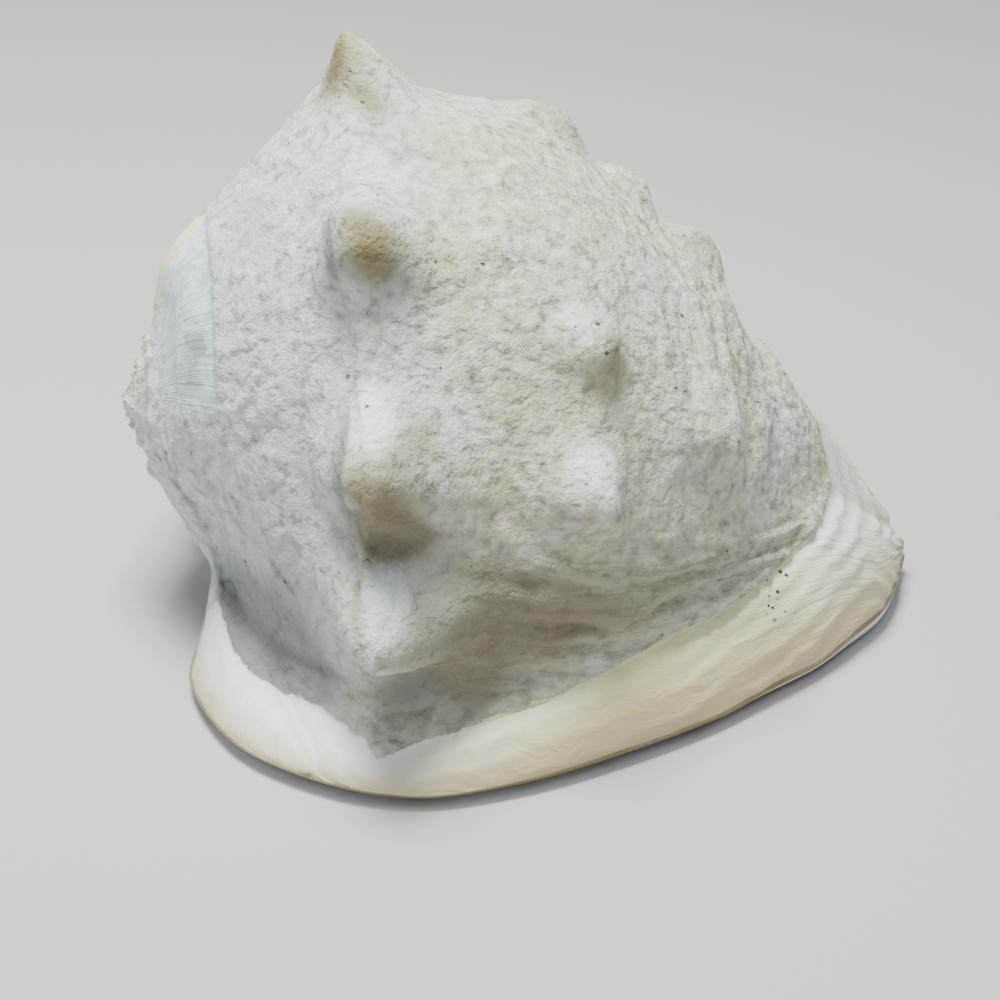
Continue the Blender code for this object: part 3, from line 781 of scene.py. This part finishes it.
Flow.__add__, Flow.__radd__ = arithmetic("ADD")
Flow.__sub__, Flow.__rsub__ = arithmetic("SUBTRACT")
Flow.__mul__, Flow.__rmul__ = arithmetic("MULTIPLY")
Flow.__truediv__, Flow.__rtruediv__ = arithmetic("DIVIDE")
print("signs for flows: + - * /")

# %% [markdown]
# The nodes that are not sums get short words too, kept together on a bench that
# holds one tree: put a node, make a soft step, read a mark from the mesh, push a
# position about, lay one colour over another.

# %% A bench for one tree of nodes
class Bench:
    """A node tree, with a word for each kind of node this shell needs."""

    def __init__(self, tree):
        self.tree = tree
        self.place = None        # position in mm, where a material sets it

    def feed(self, socket, value):
        """Links a flow or a socket to a node's input, or sets the input to a value."""
        if isinstance(value, Flow):
            value = value.socket
        if isinstance(value, bpy.types.NodeSocket):
            self.tree.links.new(value, socket)
        else:
            socket.default_value = value

    def put(self, kind, settings=None, **sockets):
        node = self.tree.nodes.new(kind)
        for name, value in (settings or {}).items():
            setattr(node, name, value)
        for name, value in sockets.items():
            self.feed(node.inputs[name.replace("_", " ")], value)
        return node

    def flow(self, kind, settings=None, out=0, **sockets):
        """Puts a node down and gives what comes out of it."""
        return Flow(self, self.put(kind, settings, **sockets).outputs[out])

    def flows(self, kind, settings=None, **sockets):
        """Puts a node down and gives all that comes out of it, by name."""
        outputs = self.put(kind, settings, **sockets).outputs
        return {socket.name: Flow(self, socket) for socket in outputs}

    def sum(self, what, *values):
        node = self.put("ShaderNodeMath", {"operation": what})
        for socket, value in zip(node.inputs, values):
            self.feed(socket, value)
        return Flow(self, node.outputs[0])

    def step(self, value, low, high):
        """A soft step from 0 to 1; it falls instead where low is above high."""
        return self.flow("ShaderNodeMapRange", {"interpolation_type": "SMOOTHSTEP"},
                         Value=value, From_Min=low, From_Max=high)

    def vector(self, what, first, second):
        """A sum on whole positions; to scale one, the second value is a number."""
        node = self.put("ShaderNodeVectorMath", {"operation": what})
        self.feed(node.inputs[0], first)
        self.feed(node.inputs["Scale" if what == "SCALE" else 1], second)
        return Flow(self, node.outputs["Vector"])

    def scaled(self, place, size):
        """A position divided by a size in mm."""
        return self.vector("SCALE", place, self.sum("DIVIDE", 1.0, size))

    def point(self, x, y, z=0.0):
        return self.flow("ShaderNodeCombineXYZ", X=x, Y=y, Z=z)

    def axes(self, place):
        return list(self.flows("ShaderNodeSeparateXYZ", Vector=place).values())

    def mark(self, name):
        """Reads a number that was kept on the mesh."""
        if self.tree.bl_idname == "GeometryNodeTree":
            return self.flow("GeometryNodeInputNamedAttribute", {"data_type": "FLOAT"}, Name=name)
        return self.flow("ShaderNodeAttribute", {"attribute_name": name}, "Fac")

    def use(self, group, **sockets):
        """A group of nodes, read at the bench's own place unless it is given another."""
        sockets.setdefault("Place", self.place)
        return self.flows("ShaderNodeGroup", {"node_tree": group}, **sockets)

    def noise(self, place, detail=2.0, rough=0.5, twist=0.0):
        return self.flow("ShaderNodeTexNoise", Vector=place, Scale=1.0, Detail=detail,
                         Roughness=rough, Distortion=twist)

    def cells(self, place, feature):
        return self.flows("ShaderNodeTexVoronoi", {"feature": feature}, Vector=place, Scale=1.0,
                          Randomness=1.0)

    def valley(self, place, size):
        """0 along wandering lines and up to 1 between them, as in crumpled leather."""
        level = self.noise(self.scaled(place, size), 3.0, 0.52, 0.5)
        return self.sum("ABSOLUTE", (level - 0.5) * 2.0)

    def warped(self, place, size, amount):
        """A position pushed about by noise, so that straight lines wander."""
        drift = self.flow("ShaderNodeTexNoise", None, "Color", Vector=self.scaled(place, size),
                          Scale=1.0, Detail=2.0)
        push = self.vector("SCALE", self.vector("SUBTRACT", drift, (0.5, 0.5, 0.5)), amount)
        return self.vector("ADD", place, push)

    def mixed(self, kind, inputs, out, *values):
        """A Mix node; each kind of value has its own sockets, known by number."""
        node = self.put("ShaderNodeMix", {"data_type": kind})
        for number, value in zip(inputs, values):
            self.feed(node.inputs[number], value)
        return Flow(self, node.outputs[out])

    def tint(self, share, under, over):
        """One colour laid over another."""
        return self.mixed("RGBA", (0, 6, 7), 2, share, under, over)

    def layered(self, tone, *layers):
        """Colours laid over a first one in turn, each by its own share."""
        for share, over in layers:
            tone = self.tint(share, tone, over)
        return tone

    def lean(self, share, first, second):
        """From one number to another, by a share between 0 and 1."""
        return self.mixed("FLOAT", (0, 2, 3), 0, share, first, second)


def colour(red, green, blue):
    return (red, green, blue, 1.0)


print("words for trees:", ", ".join(w for w in vars(Bench) if not w.startswith("_")))

# %% [markdown]
# The relief that follows a rule is carved by Geometry Nodes. On the coat it is
# a leathery skin of small pillows between creases. Low on the body it is folds
# that run along with the lip, and on the lip it is growth ridges, each one an
# older edge of the shell. The tree reads the attributes, adds the heights and
# moves every point along its normal.

# %% Relief tree
def relief_tree():
    tree = bpy.data.node_groups.new("shell_relief", "GeometryNodeTree")
    face = tree.interface
    face.new_socket("Geometry", in_out="INPUT", socket_type="NodeSocketGeometry")
    for name, value in (("Pillow Size", 9.0), ("Pillow Height", 0.90), ("Swell Height", 1.3),
                        ("Fold Pitch", 7.0), ("Fold Height", 1.3), ("Ridge Pitch", 7.0),
                        ("Ridge Height", 0.8), ("Streak Pitch", 6.5), ("Streak Height", 1.0),
                        ("Seed", float(SEED))):
        face.new_socket(name, in_out="INPUT", socket_type="NodeSocketFloat").default_value = value
    for name in ("Coat", "Glaze", "Porcelain"):
        face.new_socket(name, in_out="INPUT", socket_type="NodeSocketMaterial")
    face.new_socket("Geometry", in_out="OUTPUT", socket_type="NodeSocketGeometry")
    bench = Bench(tree)
    given = bench.flows("NodeGroupInput")
    metres = bench.flow("GeometryNodeInputPosition")
    seed_place = bench.point(given["Seed"], given["Seed"])
    place = bench.vector("ADD", bench.vector("SCALE", metres, 1 / MM),
                         bench.scaled(seed_place, 0.1))
    x = bench.axes(place)[0]
    coat = bench.step(bench.mark("coat_edge"), -0.8, 0.8)

    # leathery pillows, deeper in some places than in others
    pillow = bench.step(bench.valley(place, given["Pillow Size"]), 0.0, 0.40)
    patchy = bench.step(bench.noise(bench.scaled(place, 22.0)), 0.36, 0.62)
    rough = 0.35 + 0.65 * patchy
    smooth_band = 1.0 - 0.9 * bench.mark("bare_band")
    pillows = pillow * given["Pillow Height"] * coat * rough * smooth_band
    swell = bench.noise(bench.scaled(place, 17.0), 3.0, 0.55) - 0.5
    swells = swell * given["Swell Height"] * (0.35 + coat * 1.3)

    # folds low on the body that run along with the lip
    stray = (bench.noise(bench.scaled(place, 30.0), 2.0) - 0.5) * 16.0
    stretched = bench.point(x * 0.22, bench.mark("round_whorl") + stray * 0.6)
    fold = bench.noise(bench.scaled(stretched, given["Fold Pitch"]), 2.0, 0.55)
    folds = bench.step(fold, 0.3, 0.7) * given["Fold Height"] * bench.mark("folded") * coat * 2.0

    # growth ridges on the bare lip, at even steps from the edge of the coat
    line = bench.mark("coat_edge") + stray * 0.7
    phase = line / given["Ridge Pitch"] * (2 * math.pi)
    wave = 0.5 + 0.5 * bench.sum("SINE", phase)
    uneven = bench.step(bench.noise(bench.scaled(place, 15.0), 1.0), 0.3, 0.7)
    strength = (0.35 + 0.65 * bench.mark("ridged")) * (0.35 + 0.9 * uneven)
    ridges = (bench.sum("POWER", wave, 1.6) * given["Ridge Height"] * strength * (1.0 - coat)
              * bench.step(bench.mark("coat_edge"), -58.0, -40.0))

    # streaks across the neck
    across = bench.point(x, bench.mark("round_whorl") * 0.16)
    streak = bench.noise(bench.scaled(across, given["Streak Pitch"]), 1.0, 0.5)
    streaks = bench.step(streak, 0.3, 0.7) * given["Streak Height"] * bench.mark("streaked") * 1.6

    height = (pillows + swells + folds + ridges + streaks) * bench.mark("free") * MM
    normal = bench.flow("GeometryNodeInputNormal")
    carved = bench.put("GeometryNodeSetPosition", Geometry=given["Geometry"],
                       Offset=bench.vector("SCALE", normal, height))
    node = bench.put("GeometryNodeRealizeInstances", Geometry=carved.outputs[0])
    for finish_name, part in (("Coat", None), ("Glaze", "under"), ("Porcelain", "inside")):
        node = bench.put("GeometryNodeSetMaterial", Geometry=node.outputs[0],
                         Material=given[finish_name])
        if part:
            bench.feed(node.inputs["Selection"],
                       bench.sum("GREATER_THAN", bench.mark(part), 0.5))
    bench.put("NodeGroupOutput", Geometry=node.outputs[0])
    return tree


relief_nodes = relief_tree()
print("relief tree:", len(relief_nodes.nodes), "nodes")

# %% [markdown]
# Four effects turn up more than once: soft creases with a few cracks in them,
# pinholes bored by the sea, old stains, and growth lines. Each is a node group
# with its own sizes, so the coat can be deeply creased and the lip hardly.

# %% Groups of nodes for the finishes
def effect(name, recipe, **inputs):
    """A group of nodes that a recipe fills; it gives its results by name."""
    tree = bpy.data.node_groups.new(name, "ShaderNodeTree")
    place = tree.interface.new_socket("Place", in_out="INPUT", socket_type="NodeSocketVector")
    place.description = "position in mm"
    for label, value in inputs.items():
        tree.interface.new_socket(label, in_out="INPUT",
                                  socket_type="NodeSocketFloat").default_value = value
    bench = Bench(tree)
    given = bench.flows("NodeGroupInput")
    results = recipe(bench, given.pop("Place"), given)
    for label in results:
        tree.interface.new_socket(label, in_out="OUTPUT", socket_type="NodeSocketFloat")
    bench.put("NodeGroupOutput", **results)
    return tree


FAINT = 0.08                 # strength of a crease where it has nearly closed


def creases(bench, place, given):
    """Soft grooves between long cells, and short cracks in a few of the grooves."""
    x, y, z = bench.axes(bench.warped(place, 4.0, 2.6))
    long_cells = bench.scaled(bench.point(x * given["Stretch"], y, z), given["Cell"])
    edge = bench.cells(long_cells, "DISTANCE_TO_EDGE")["Distance"]
    crack = 1.0 - bench.step(edge, 0.0, given["Width"])
    shown = bench.noise(bench.scaled(place, given["Cell"] * 0.55), 1.0)
    cut = 0.72 - given["Cover"] * 0.44
    present = FAINT + bench.step(shown, cut, cut + 0.2) * (1 - FAINT)
    groove = bench.step(edge, 0.0, 0.32)
    return {"Crease": crack * present,
            "Pillow": bench.lean(bench.step(shown, 0.38, 0.64), 1.0, groove)}


def pinholes(bench, place, given):
    """Small round holes at a few of the cells, of uneven size."""
    cell = bench.cells(bench.scaled(place, given["Spacing"]), "F1")
    chance = bench.flows("ShaderNodeSeparateColor", Color=cell["Color"])
    chosen = bench.sum("LESS_THAN", chance["Red"], given["Share"])
    size = given["Size"] * (0.4 + chance["Green"])
    near = 1.0 - bench.step(cell["Distance"], size * 0.55, size)
    return {"Hole": near * chosen}


def old_stain(bench, place, given):
    """Cloudy patches with an uneven edge."""
    cloud = bench.noise(bench.scaled(place, given["Size"]), 3.0, 0.62)
    cut = 0.75 - given["Cover"] * 0.5
    return {"Stain": bench.step(cloud, cut - given["Softness"], cut + given["Softness"])}


def growth_lines(bench, place, given):
    """Fine lines along the lip, each an older edge of the shell."""
    along = bench.axes(place)[0] * given["Stretch"]
    drift = (bench.noise(bench.scaled(place, 18.0)) - 0.5) * 8.0
    flat = bench.point(along, given["Round"] + drift)
    return {"Line": bench.noise(bench.scaled(flat, given["Pitch"]), 3.0, 0.6)}


CREASES = effect("creases", creases, Cell=5.0, Width=0.04, Cover=0.5, Stretch=0.6)
PINHOLES = effect("pinholes", pinholes, Spacing=4.0, Size=0.12, Share=0.3)
STAIN = effect("old_stain", old_stain, Size=20.0, Cover=0.5, Softness=0.12)
GROWTH = effect("growth_lines", growth_lines, Round=0.0, Pitch=1.5, Stretch=0.12)
print("effects:", [(g.name, len(g.nodes)) for g in (CREASES, PINHOLES, STAIN, GROWTH)])

# %% [markdown]
# Every finish starts alike, with a Principled BSDF, the position in mm, and a
# bump from a height in mm. With real sizes, the grain of one finish stays in
# scale with the grain of the next.

# %% A finish to start from
def finish(name):
    """A new material, a bench for its nodes, and its surface."""
    material = bpy.data.materials.new(name)
    material.use_nodes = True
    bench = Bench(material.node_tree)
    surface = material.node_tree.nodes["Principled BSDF"]
    metres = bench.flow("ShaderNodeTexCoord", None, "Object")
    bench.place = bench.vector("SCALE", metres, 1 / MM)
    return material, bench, surface


def emboss(bench, surface, height):
    """Height in mm, seen as a bump."""
    bench.feed(surface.inputs["Normal"],
               bench.flow("ShaderNodeBump", Height=height, Distance=MM, Strength=1.0))


def stains(bench, size, cover, softness):
    return bench.use(STAIN, Size=size, Cover=cover, Softness=softness)["Stain"]


def holes(bench, spacing, size, share):
    return bench.use(PINHOLES, Spacing=spacing, Size=size, Share=share)["Hole"]


def lines_along_lip(bench, pitch, stretch):
    return bench.use(GROWTH, Round=bench.mark("round_whorl"), Pitch=pitch,
                     Stretch=stretch)["Line"]


print("bumps are", MM, "m for each mm of height")

# %% [markdown]
# The coat is chalk that has lain in the sea. It is a cool grey white, never
# one tone: cream clouds, olive dirt and painted shade in the creases, tan where a
# horn has worn through, painted grey-brown shade low on the body and under the
# horns, painted cool shade on the ramp, and a few painted highlights. The bare lip
# shares this material, because the edge of the coat then stays crisp between two
# points of the mesh: the mask is sharpened in the material and not by faces.

# %% Colours of the coat, the lip, the stains and the painted shade and highlights
CHALK = colour(0.680, 0.715, 0.615)
CHALK_COOL = colour(0.640, 0.725, 0.735)
CHALK_CREAM = colour(0.630, 0.605, 0.400)
CHALK_OLIVE = colour(0.330, 0.335, 0.265)
WHITE = colour(0.83, 0.95, 0.98)
TAN = colour(0.215, 0.172, 0.062)
# Painted shade, grey-brown, under the horns, low on the body and in the folds.
TAUPE = colour(0.185, 0.152, 0.098)
# Painted cool shade.
COOL_SHADE_GREY = colour(0.182, 0.178, 0.184)
# Dirt and painted shade in the creases.
CREASE_DIRT_AND_SHADE = colour(0.150, 0.150, 0.120)
PIT_DARK = colour(0.045, 0.045, 0.035)
SMEAR_GREY = colour(0.150, 0.155, 0.140)
LIP_WHITE = colour(0.86, 0.96, 0.97)
LIP_GREY = colour(0.500, 0.540, 0.560)
LIP_CREAM = colour(0.930, 0.860, 0.430)
RIM_TAN = colour(0.660, 0.520, 0.260)
# Painted cool shade on the bare band by the spire.
BAND_SHADE_BLUE = colour(0.500, 0.610, 0.750)
OLD_LIP_CREAM = colour(0.760, 0.700, 0.540)
RUST_BROWN = colour(0.075, 0.028, 0.016)
print("clean chalk:", CHALK[:3], " bare lip:", LIP_WHITE[:3])

# %% Patterns that the coat and the lip are mixed from
CLOUD_SIZE = 3.2             # mm, chalk rubbed thick and thin
GRAIN_SIZE = 0.7             # mm
COAT_MARKS = ("coat_edge", "bare_band", "pitted", "ramp", "folded", "creamy", "bleach", "ochre",
              "shade", "dusk", "smear", "old_lip", "from_rim", "rust")


def shell_patterns(bench):
    """The marks kept on the mesh, and the patterns that follow from them."""
    on = {name: bench.mark(name) for name in COAT_MARKS}
    on["cloud"] = bench.noise(bench.scaled(bench.place, CLOUD_SIZE), 4.0, 0.6)
    on["rub"] = on["cloud"] - 0.5
    on["grain"] = bench.noise(bench.scaled(bench.place, GRAIN_SIZE), 1.0, 0.65)
    on["speckle"] = bench.step(on["grain"], 0.55, 0.30)
    on["lines"] = lines_along_lip(bench, 2.2, 0.10)
    on["calm"] = 1.0 - on["folded"] * 0.6
    on["large"] = bench.use(CREASES, Cell=6.4, Width=0.042, Cover=0.30, Stretch=0.7)
    on["small"] = bench.use(CREASES, Cell=2.3, Width=0.060, Cover=0.2, Stretch=1.3)
    share = 0.06 + bench.step(on["pitted"], 0.1, 0.9) * 0.4
    on["holes"] = bench.use(PINHOLES, Place=bench.warped(bench.place, 1.2, 0.6), Spacing=3.2,
                            Size=0.17, Share=share)["Hole"]
    return on


print("marks read by the coat:", ", ".join(COAT_MARKS))

# %% [markdown]
# A recipe below is a first colour and then layers, each with its share: how
# much of it covers what lies under it. The shares are judged, so they
# stay in the recipe, as amounts do in a cook's.

# %% The chalky coat
# Ochre is a real stain, the whitening is partly real wear and partly painted highlight, and the two
# shades are painted shade.
# Mark, how far the clouds fray it, where it starts, where it is full, share, colour.
STAINS_AND_PAINTED_LIGHT = (("bleach", 0.9, 0.15, 1.00, 0.85, WHITE), ("ochre", 0.8, 0.02, 1.20, 0.95, TAN),
              ("shade", 0.5, 0.05, 1.15, 0.84, TAUPE), ("dusk", 0.5, 0.05, 1.15, 0.84, COOL_SHADE_GREY))


def chalk_clouds(bench, on):
    """Clean chalk: creamy on the body, painted cool shade on the ramp, thick and thin."""
    cream = stains(bench, 24.0, 0.50, 0.14) + on["creamy"] * 0.3
    cool = stains(bench, 34.0, 0.42, 0.15) * (1.0 - on["creamy"] * 0.5)
    return bench.layered(
        CHALK,
        (cream * bench.lean(on["ramp"], 0.8, 0.3), CHALK_CREAM),
        # On the ramp this cool tint is painted cool shade; elsewhere it is random cool clouds.
        (bench.lean(on["ramp"], cool, 0.85) * on["calm"] * 0.7, CHALK_COOL),
        (bench.step(on["cloud"], 0.50, 0.70) * on["calm"] * 0.58, WHITE),
        (bench.step(on["cloud"], 0.53, 0.33) * bench.lean(on["ramp"], 0.52, 0.36), CHALK_OLIVE))


def chalk_stains_and_painted_light(bench, on, tone):
    """Dirt and painted shade in the grooves, then stains and painted shade and highlights."""
    dirt_and_shade = 0.22 + stains(bench, 9.0, 0.42, 0.10) * 0.35
    # The grooves between the pillows are darkened, partly dirt and partly painted shade.
    tone = bench.tint((1.0 - on["large"]["Pillow"]) * dirt_and_shade, tone, CREASE_DIRT_AND_SHADE)
    for name, fray, start, full, share, paint in STAINS_AND_PAINTED_LIGHT:
        level = on[name] + on["rub"] * fray
        tone = bench.tint(bench.step(level, start, full) * share, tone, paint)
    # Painted shade in the grooves of the folds low on the body.
    return bench.tint(bench.step(on["lines"], 0.53, 0.36) * on["folded"] * 0.42, tone, TAUPE)


def chalk_tone(bench, on):
    """The coat with its smears, cracks and holes, and the bare band by the spire."""
    smeared = bench.step(on["smear"] + on["rub"] * 2.2, 0.35, 1.0)
    beads = bench.step(on["grain"], 0.40, 0.56)
    # The blue of the bare band is painted cool shade.
    band = bench.tint(bench.step(on["cloud"], 0.35, 0.75), BAND_SHADE_BLUE, WHITE)
    return bench.layered(
        chalk_stains_and_painted_light(bench, on, chalk_clouds(bench, on)),
        (smeared * 0.75, SMEAR_GREY),
        (on["speckle"] * 0.22, CHALK_OLIVE),
        (on["large"]["Crease"] * beads * on["calm"] * 0.75, PIT_DARK),
        (on["holes"] * 0.85, PIT_DARK),
        (on["bare_band"] * 0.85, band),
        (smeared * on["bare_band"] * 0.6, SMEAR_GREY),
        (bench.step(on["old_lip"], 0.3, 0.8), OLD_LIP_CREAM))


# The list holds real stains, painted shade and painted highlights.
print("old stains:", ", ".join(row[0] for row in STAINS_AND_PAINTED_LIGHT))

# %% The bare lip
def lip_tone(bench, on, rust):
    """White towards the spire, cream towards the canal, tan at the worn rim."""
    worn = stains(bench, 30.0, 0.55, 0.2)
    rim = on["from_rim"] + (on["lines"] - 0.5) * 0.25
    return bench.layered(
        LIP_WHITE,
        (on["creamy"] * (0.45 + worn * 0.55), LIP_CREAM),
        (bench.step(on["lines"], 0.52, 0.75) * 0.3, LIP_CREAM),
        (bench.step(on["lines"], 0.5, 0.3) * 0.28, LIP_GREY),
        (bench.step(rim, 0.45, 0.95) * 0.8, RIM_TAN),
        (on["speckle"] * 0.16, LIP_GREY),
        (rust, RUST_BROWN),
        (holes(bench, 9.0, 0.05, 0.25) * 0.7, PIT_DARK))


def rust_specks(bench, on):
    """Small brown specks near the canal end of the lip."""
    return holes(bench, 2.1, 0.35, 0.62) * bench.step(on["rust"], 0.2, 0.75)


print("colours laid on the lip: cream, grey, tan, rust")

# %% Coat and lip together
COAT_FRAY = 2.4              # mm, how far the clouds fray the edge of the coat
COAT_CRISP = 0.35            # mm, half the width of that edge


def weathered_coat():
    """Chalky inside the edge of the coat, and bare lip outside it."""
    material, bench, surface = finish("weathered_coat")
    on = shell_patterns(bench)
    edge = on["coat_edge"] + on["rub"] * COAT_FRAY
    coat = bench.step(edge, -COAT_CRISP, COAT_CRISP)
    chalky = coat * (1.0 - on["bare_band"] * 0.85)
    rust = rust_specks(bench, on)
    bench.feed(surface.inputs["Base Color"],
               bench.tint(coat, lip_tone(bench, on, rust), chalk_tone(bench, on)))
    dull = 0.66 + on["grain"] * 0.2
    satin = 0.34 + on["lines"] * 0.22
    bench.feed(surface.inputs["Roughness"], bench.lean(chalky, satin, dull))
    coat_height = (on["large"]["Pillow"] * on["calm"] * 0.3
                   + on["large"]["Crease"] * on["calm"] * -0.22
                   + on["small"]["Pillow"] * 0.13 + on["lines"] * on["folded"] * 0.7
                   + on["holes"] * -0.5 + on["cloud"] * 0.46 + on["grain"] * 0.12)
    lip_height = on["lines"] * 0.75 + on["cloud"] * 0.2 + rust * -0.3
    emboss(bench, surface, bench.lean(chalky, lip_height, coat_height))
    return material


COAT_FINISH = weathered_coat()
print("coat and lip:", len(COAT_FINISH.node_tree.nodes), "nodes")

# %% [markdown]
# Where the coat never lay, the shell still has its gloss. The underside of the
# lip and the shield is a creamy glaze with growth lines, and the hollow is
# smoother still and rosier. A thin clear coat over a rough base gives that wet
# look better than a low roughness alone.

# %% Glaze under the lip, and porcelain inside
GLAZE_CREAM = colour(0.72, 0.60, 0.42)
GLAZE_TAN = colour(0.55, 0.36, 0.20)
PORCELAIN = colour(0.74, 0.66, 0.54)
PORCELAIN_ROSE = colour(0.60, 0.38, 0.24)


def glossy(name, recipe):
    """A finish from a recipe that gives its colour, roughness, height in mm and clear coat."""
    material, bench, surface = finish(name)
    tone, rough, height, clear = recipe(bench)
    bench.feed(surface.inputs["Base Color"], tone)
    bench.feed(surface.inputs["Roughness"], rough)
    emboss(bench, surface, height)
    surface.inputs["Coat Weight"].default_value = clear
    return material


def underside(bench):
    """Creamy and worn, with lines that run on from the lip."""
    lines = lines_along_lip(bench, 1.8, 0.08)
    worn = stains(bench, 26.0, 0.5, 0.2)
    bored = holes(bench, 7.0, 0.06, 0.3)
    tone = bench.layered(LIP_WHITE, (worn * 0.6, GLAZE_CREAM),
                         (bench.step(lines, 0.5, 0.8) * 0.4, GLAZE_TAN),
                         (bored * 0.7, PIT_DARK))
    return tone, 0.22 + worn * 0.18, lines * 0.4 + bored * -0.3, 0.25


def hollow(bench):
    """Smooth and rosy, as the animal left it."""
    lines = bench.use(GROWTH, Round=0.0, Pitch=6.0, Stretch=0.4)["Line"]
    cloud = stains(bench, 34.0, 0.5, 0.25)
    tone = bench.layered(PORCELAIN, (cloud * 0.7, PORCELAIN_ROSE),
                         (bench.step(lines, 0.45, 0.8) * 0.3, GLAZE_TAN))
    return tone, 0.16 + lines * 0.2, lines * 0.3, 0.4


FINISHES = {"Coat": COAT_FINISH, "Glaze": glossy("glazed_underside", underside),
            "Porcelain": glossy("porcelain_hollow", hollow)}
print("finishes:", ", ".join(m.name for m in FINISHES.values()))

# %% [markdown]
# The tree is put on the skin, its inputs are set by their identifiers, and the
# carved result is made a plain mesh. The modifier goes away again, so that the
# shell is an ordinary object before it joins the frame.

# %% Carve the skin
rough_shell = bpy.data.objects.new("uncarved_shell", skin)
bpy.context.scene.collection.objects.link(rough_shell)
carve = rough_shell.modifiers.new("relief", "NODES")
carve.node_group = relief_nodes
for item in relief_nodes.interface.items_tree:
    if item.in_out == "INPUT" and item.name in FINISHES:
        carve[item.identifier] = FINISHES[item.name]
    elif item.in_out == "INPUT" and item.socket_type == "NodeSocketFloat":
        carve[item.identifier] = item.default_value
bpy.context.view_layer.update()
carved = bpy.data.meshes.new_from_object(
    rough_shell.evaluated_get(bpy.context.evaluated_depsgraph_get()))
carved.name = "helmet_shell_skin"
bpy.data.objects.remove(rough_shell, do_unlink=True)

points = np.array([v.co for v in carved.vertices])
low, high = (np.array(corner) for corner in CAD_BOX)
points = np.clip(points, low, high)
carved.vertices.foreach_set("co", points.ravel())
carved.update()
shell = bpy.data.objects.new("helmet_shell_skin", carved)
bpy.context.scene.collection.objects.link(shell)
signed = sum(p.area * p.center.dot(p.normal) for p in carved.polygons) / 3
print("shell:", len(carved.vertices), "points, volume", round(signed * 1e6), "cm3, finishes:",
      ", ".join(m.name for m in carved.materials if m))
print("box of the shell, mm:", (points.min(0) / MM).round(1), (points.max(0) / MM).round(1))
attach(shell, "root")
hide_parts("helmet_shell")

# %% [markdown]
# The shell lies on plain pale paper. One softbox above and a little to the left
# models the horns, a weak one on the left cools the ramp, and a weak one in
# front opens the shade under the shoulder. The sky is dim and cool, so that the
# cream of the lip stays warm beside it.

# %% Floor
FLOOR_SIZE = 40.0            # m, so that no view meets its edge
PAPER = (0.535, 0.52, 0.525, 1)
PAPER_ROUGHNESS = 0.9
half = FLOOR_SIZE / 2
floor_mesh = bpy.data.meshes.new("studio_floor")
floor_mesh.from_pydata([(-half, -half, 0), (half, -half, 0), (half, half, 0), (-half, half, 0)],
                       [], [(0, 1, 2, 3)])
floor = bpy.data.objects.new("studio_floor", floor_mesh)
bpy.context.scene.collection.objects.link(floor)
paper = bpy.data.materials.new("pale_paper")
paper.use_nodes = True
paper_surface = paper.node_tree.nodes["Principled BSDF"]
paper_surface.inputs["Base Color"].default_value = PAPER
paper_surface.inputs["Roughness"].default_value = PAPER_ROUGHNESS
floor_mesh.materials.append(paper)
print("floor:", FLOOR_SIZE, "m across")

# %% Light
SKY = (0.78, 0.87, 1.0, 1)
SKY_STRENGTH = 0.19
LIT_SPOT = Vector((0, 0, 0.07))
# Name, place in m, size in m, watts, colour.
SOFTBOXES = (("key_softbox", (-0.16, 0.08, 1.10), 0.42, 29, (0.95, 0.99, 0.91)),
             ("side_softbox", (-1.1, -0.1, 0.7), 0.7, 3, (0.86, 0.93, 1.0)),
             ("front_softbox", (0.1, -0.6, 1.2), 0.6, 4.5, (0.97, 0.98, 1.0)))
world = bpy.data.worlds.new("studio")
world.use_nodes = True
world.node_tree.nodes["Background"].inputs["Color"].default_value = SKY
world.node_tree.nodes["Background"].inputs["Strength"].default_value = SKY_STRENGTH
bpy.context.scene.world = world
for name, place, size, watts, tint in SOFTBOXES:
    lamp = bpy.data.lights.new(name, "AREA")
    lamp.shape = "SQUARE"
    lamp.size = size
    lamp.energy = watts
    lamp.color = tint
    item = bpy.data.objects.new(name, lamp)
    item.location = place
    item.rotation_mode = "QUATERNION"
    item.rotation_quaternion = (LIT_SPOT - Vector(place)).to_track_quat("-Z", "Y")
    bpy.context.scene.collection.objects.link(item)
print("softboxes:", ", ".join(row[0] for row in SOFTBOXES))

# %% [markdown]
# The camera looks down on the shell from in front, close enough for the near
# lip to look larger than the spire. Its three directions are worked out first
# and written straight into its matrix, which is plainer than turning it by
# angles one after another.

# %% Camera
AZIMUTH = math.radians(-11)
ELEVATION = math.radians(25)
ROLL = math.radians(3)
DISTANCE = 650.0             # mm, from the point looked through
LOOK_THROUGH = np.array([-5.0, 8.5, 75.0])
AIM_RIGHT = -5.1             # mm, where the middle of the view lies from that point
AIM_UP = -43.1
LENS = 81.9
right = np.array([math.cos(AZIMUTH), math.sin(AZIMUTH), 0.0])
back = np.array([math.sin(AZIMUTH) * math.cos(ELEVATION),
                 -math.cos(AZIMUTH) * math.cos(ELEVATION), math.sin(ELEVATION)])
up = np.cross(back, right)
right, up = (math.cos(ROLL) * right + math.sin(ROLL) * up,
             -math.sin(ROLL) * right + math.cos(ROLL) * up)
eye = LOOK_THROUGH + DISTANCE * back
aim = LOOK_THROUGH + AIM_RIGHT * right + AIM_UP * up
back = (eye - aim) / np.linalg.norm(eye - aim)
right = np.cross(up, back)
right /= np.linalg.norm(right)
up = np.cross(back, right)
lens = bpy.data.cameras.new("camera")
lens.lens = LENS
lens.sensor_width = 36.0
camera = bpy.data.objects.new("camera", lens)
camera.matrix_world = Matrix([[*r, v] for r, v in zip(np.stack([right, up, back], 1), eye * MM)]
                             + [[0, 0, 0, 1]])
bpy.context.scene.collection.objects.link(camera)
bpy.context.scene.camera = camera
print("camera at, mm:", eye.round(1))
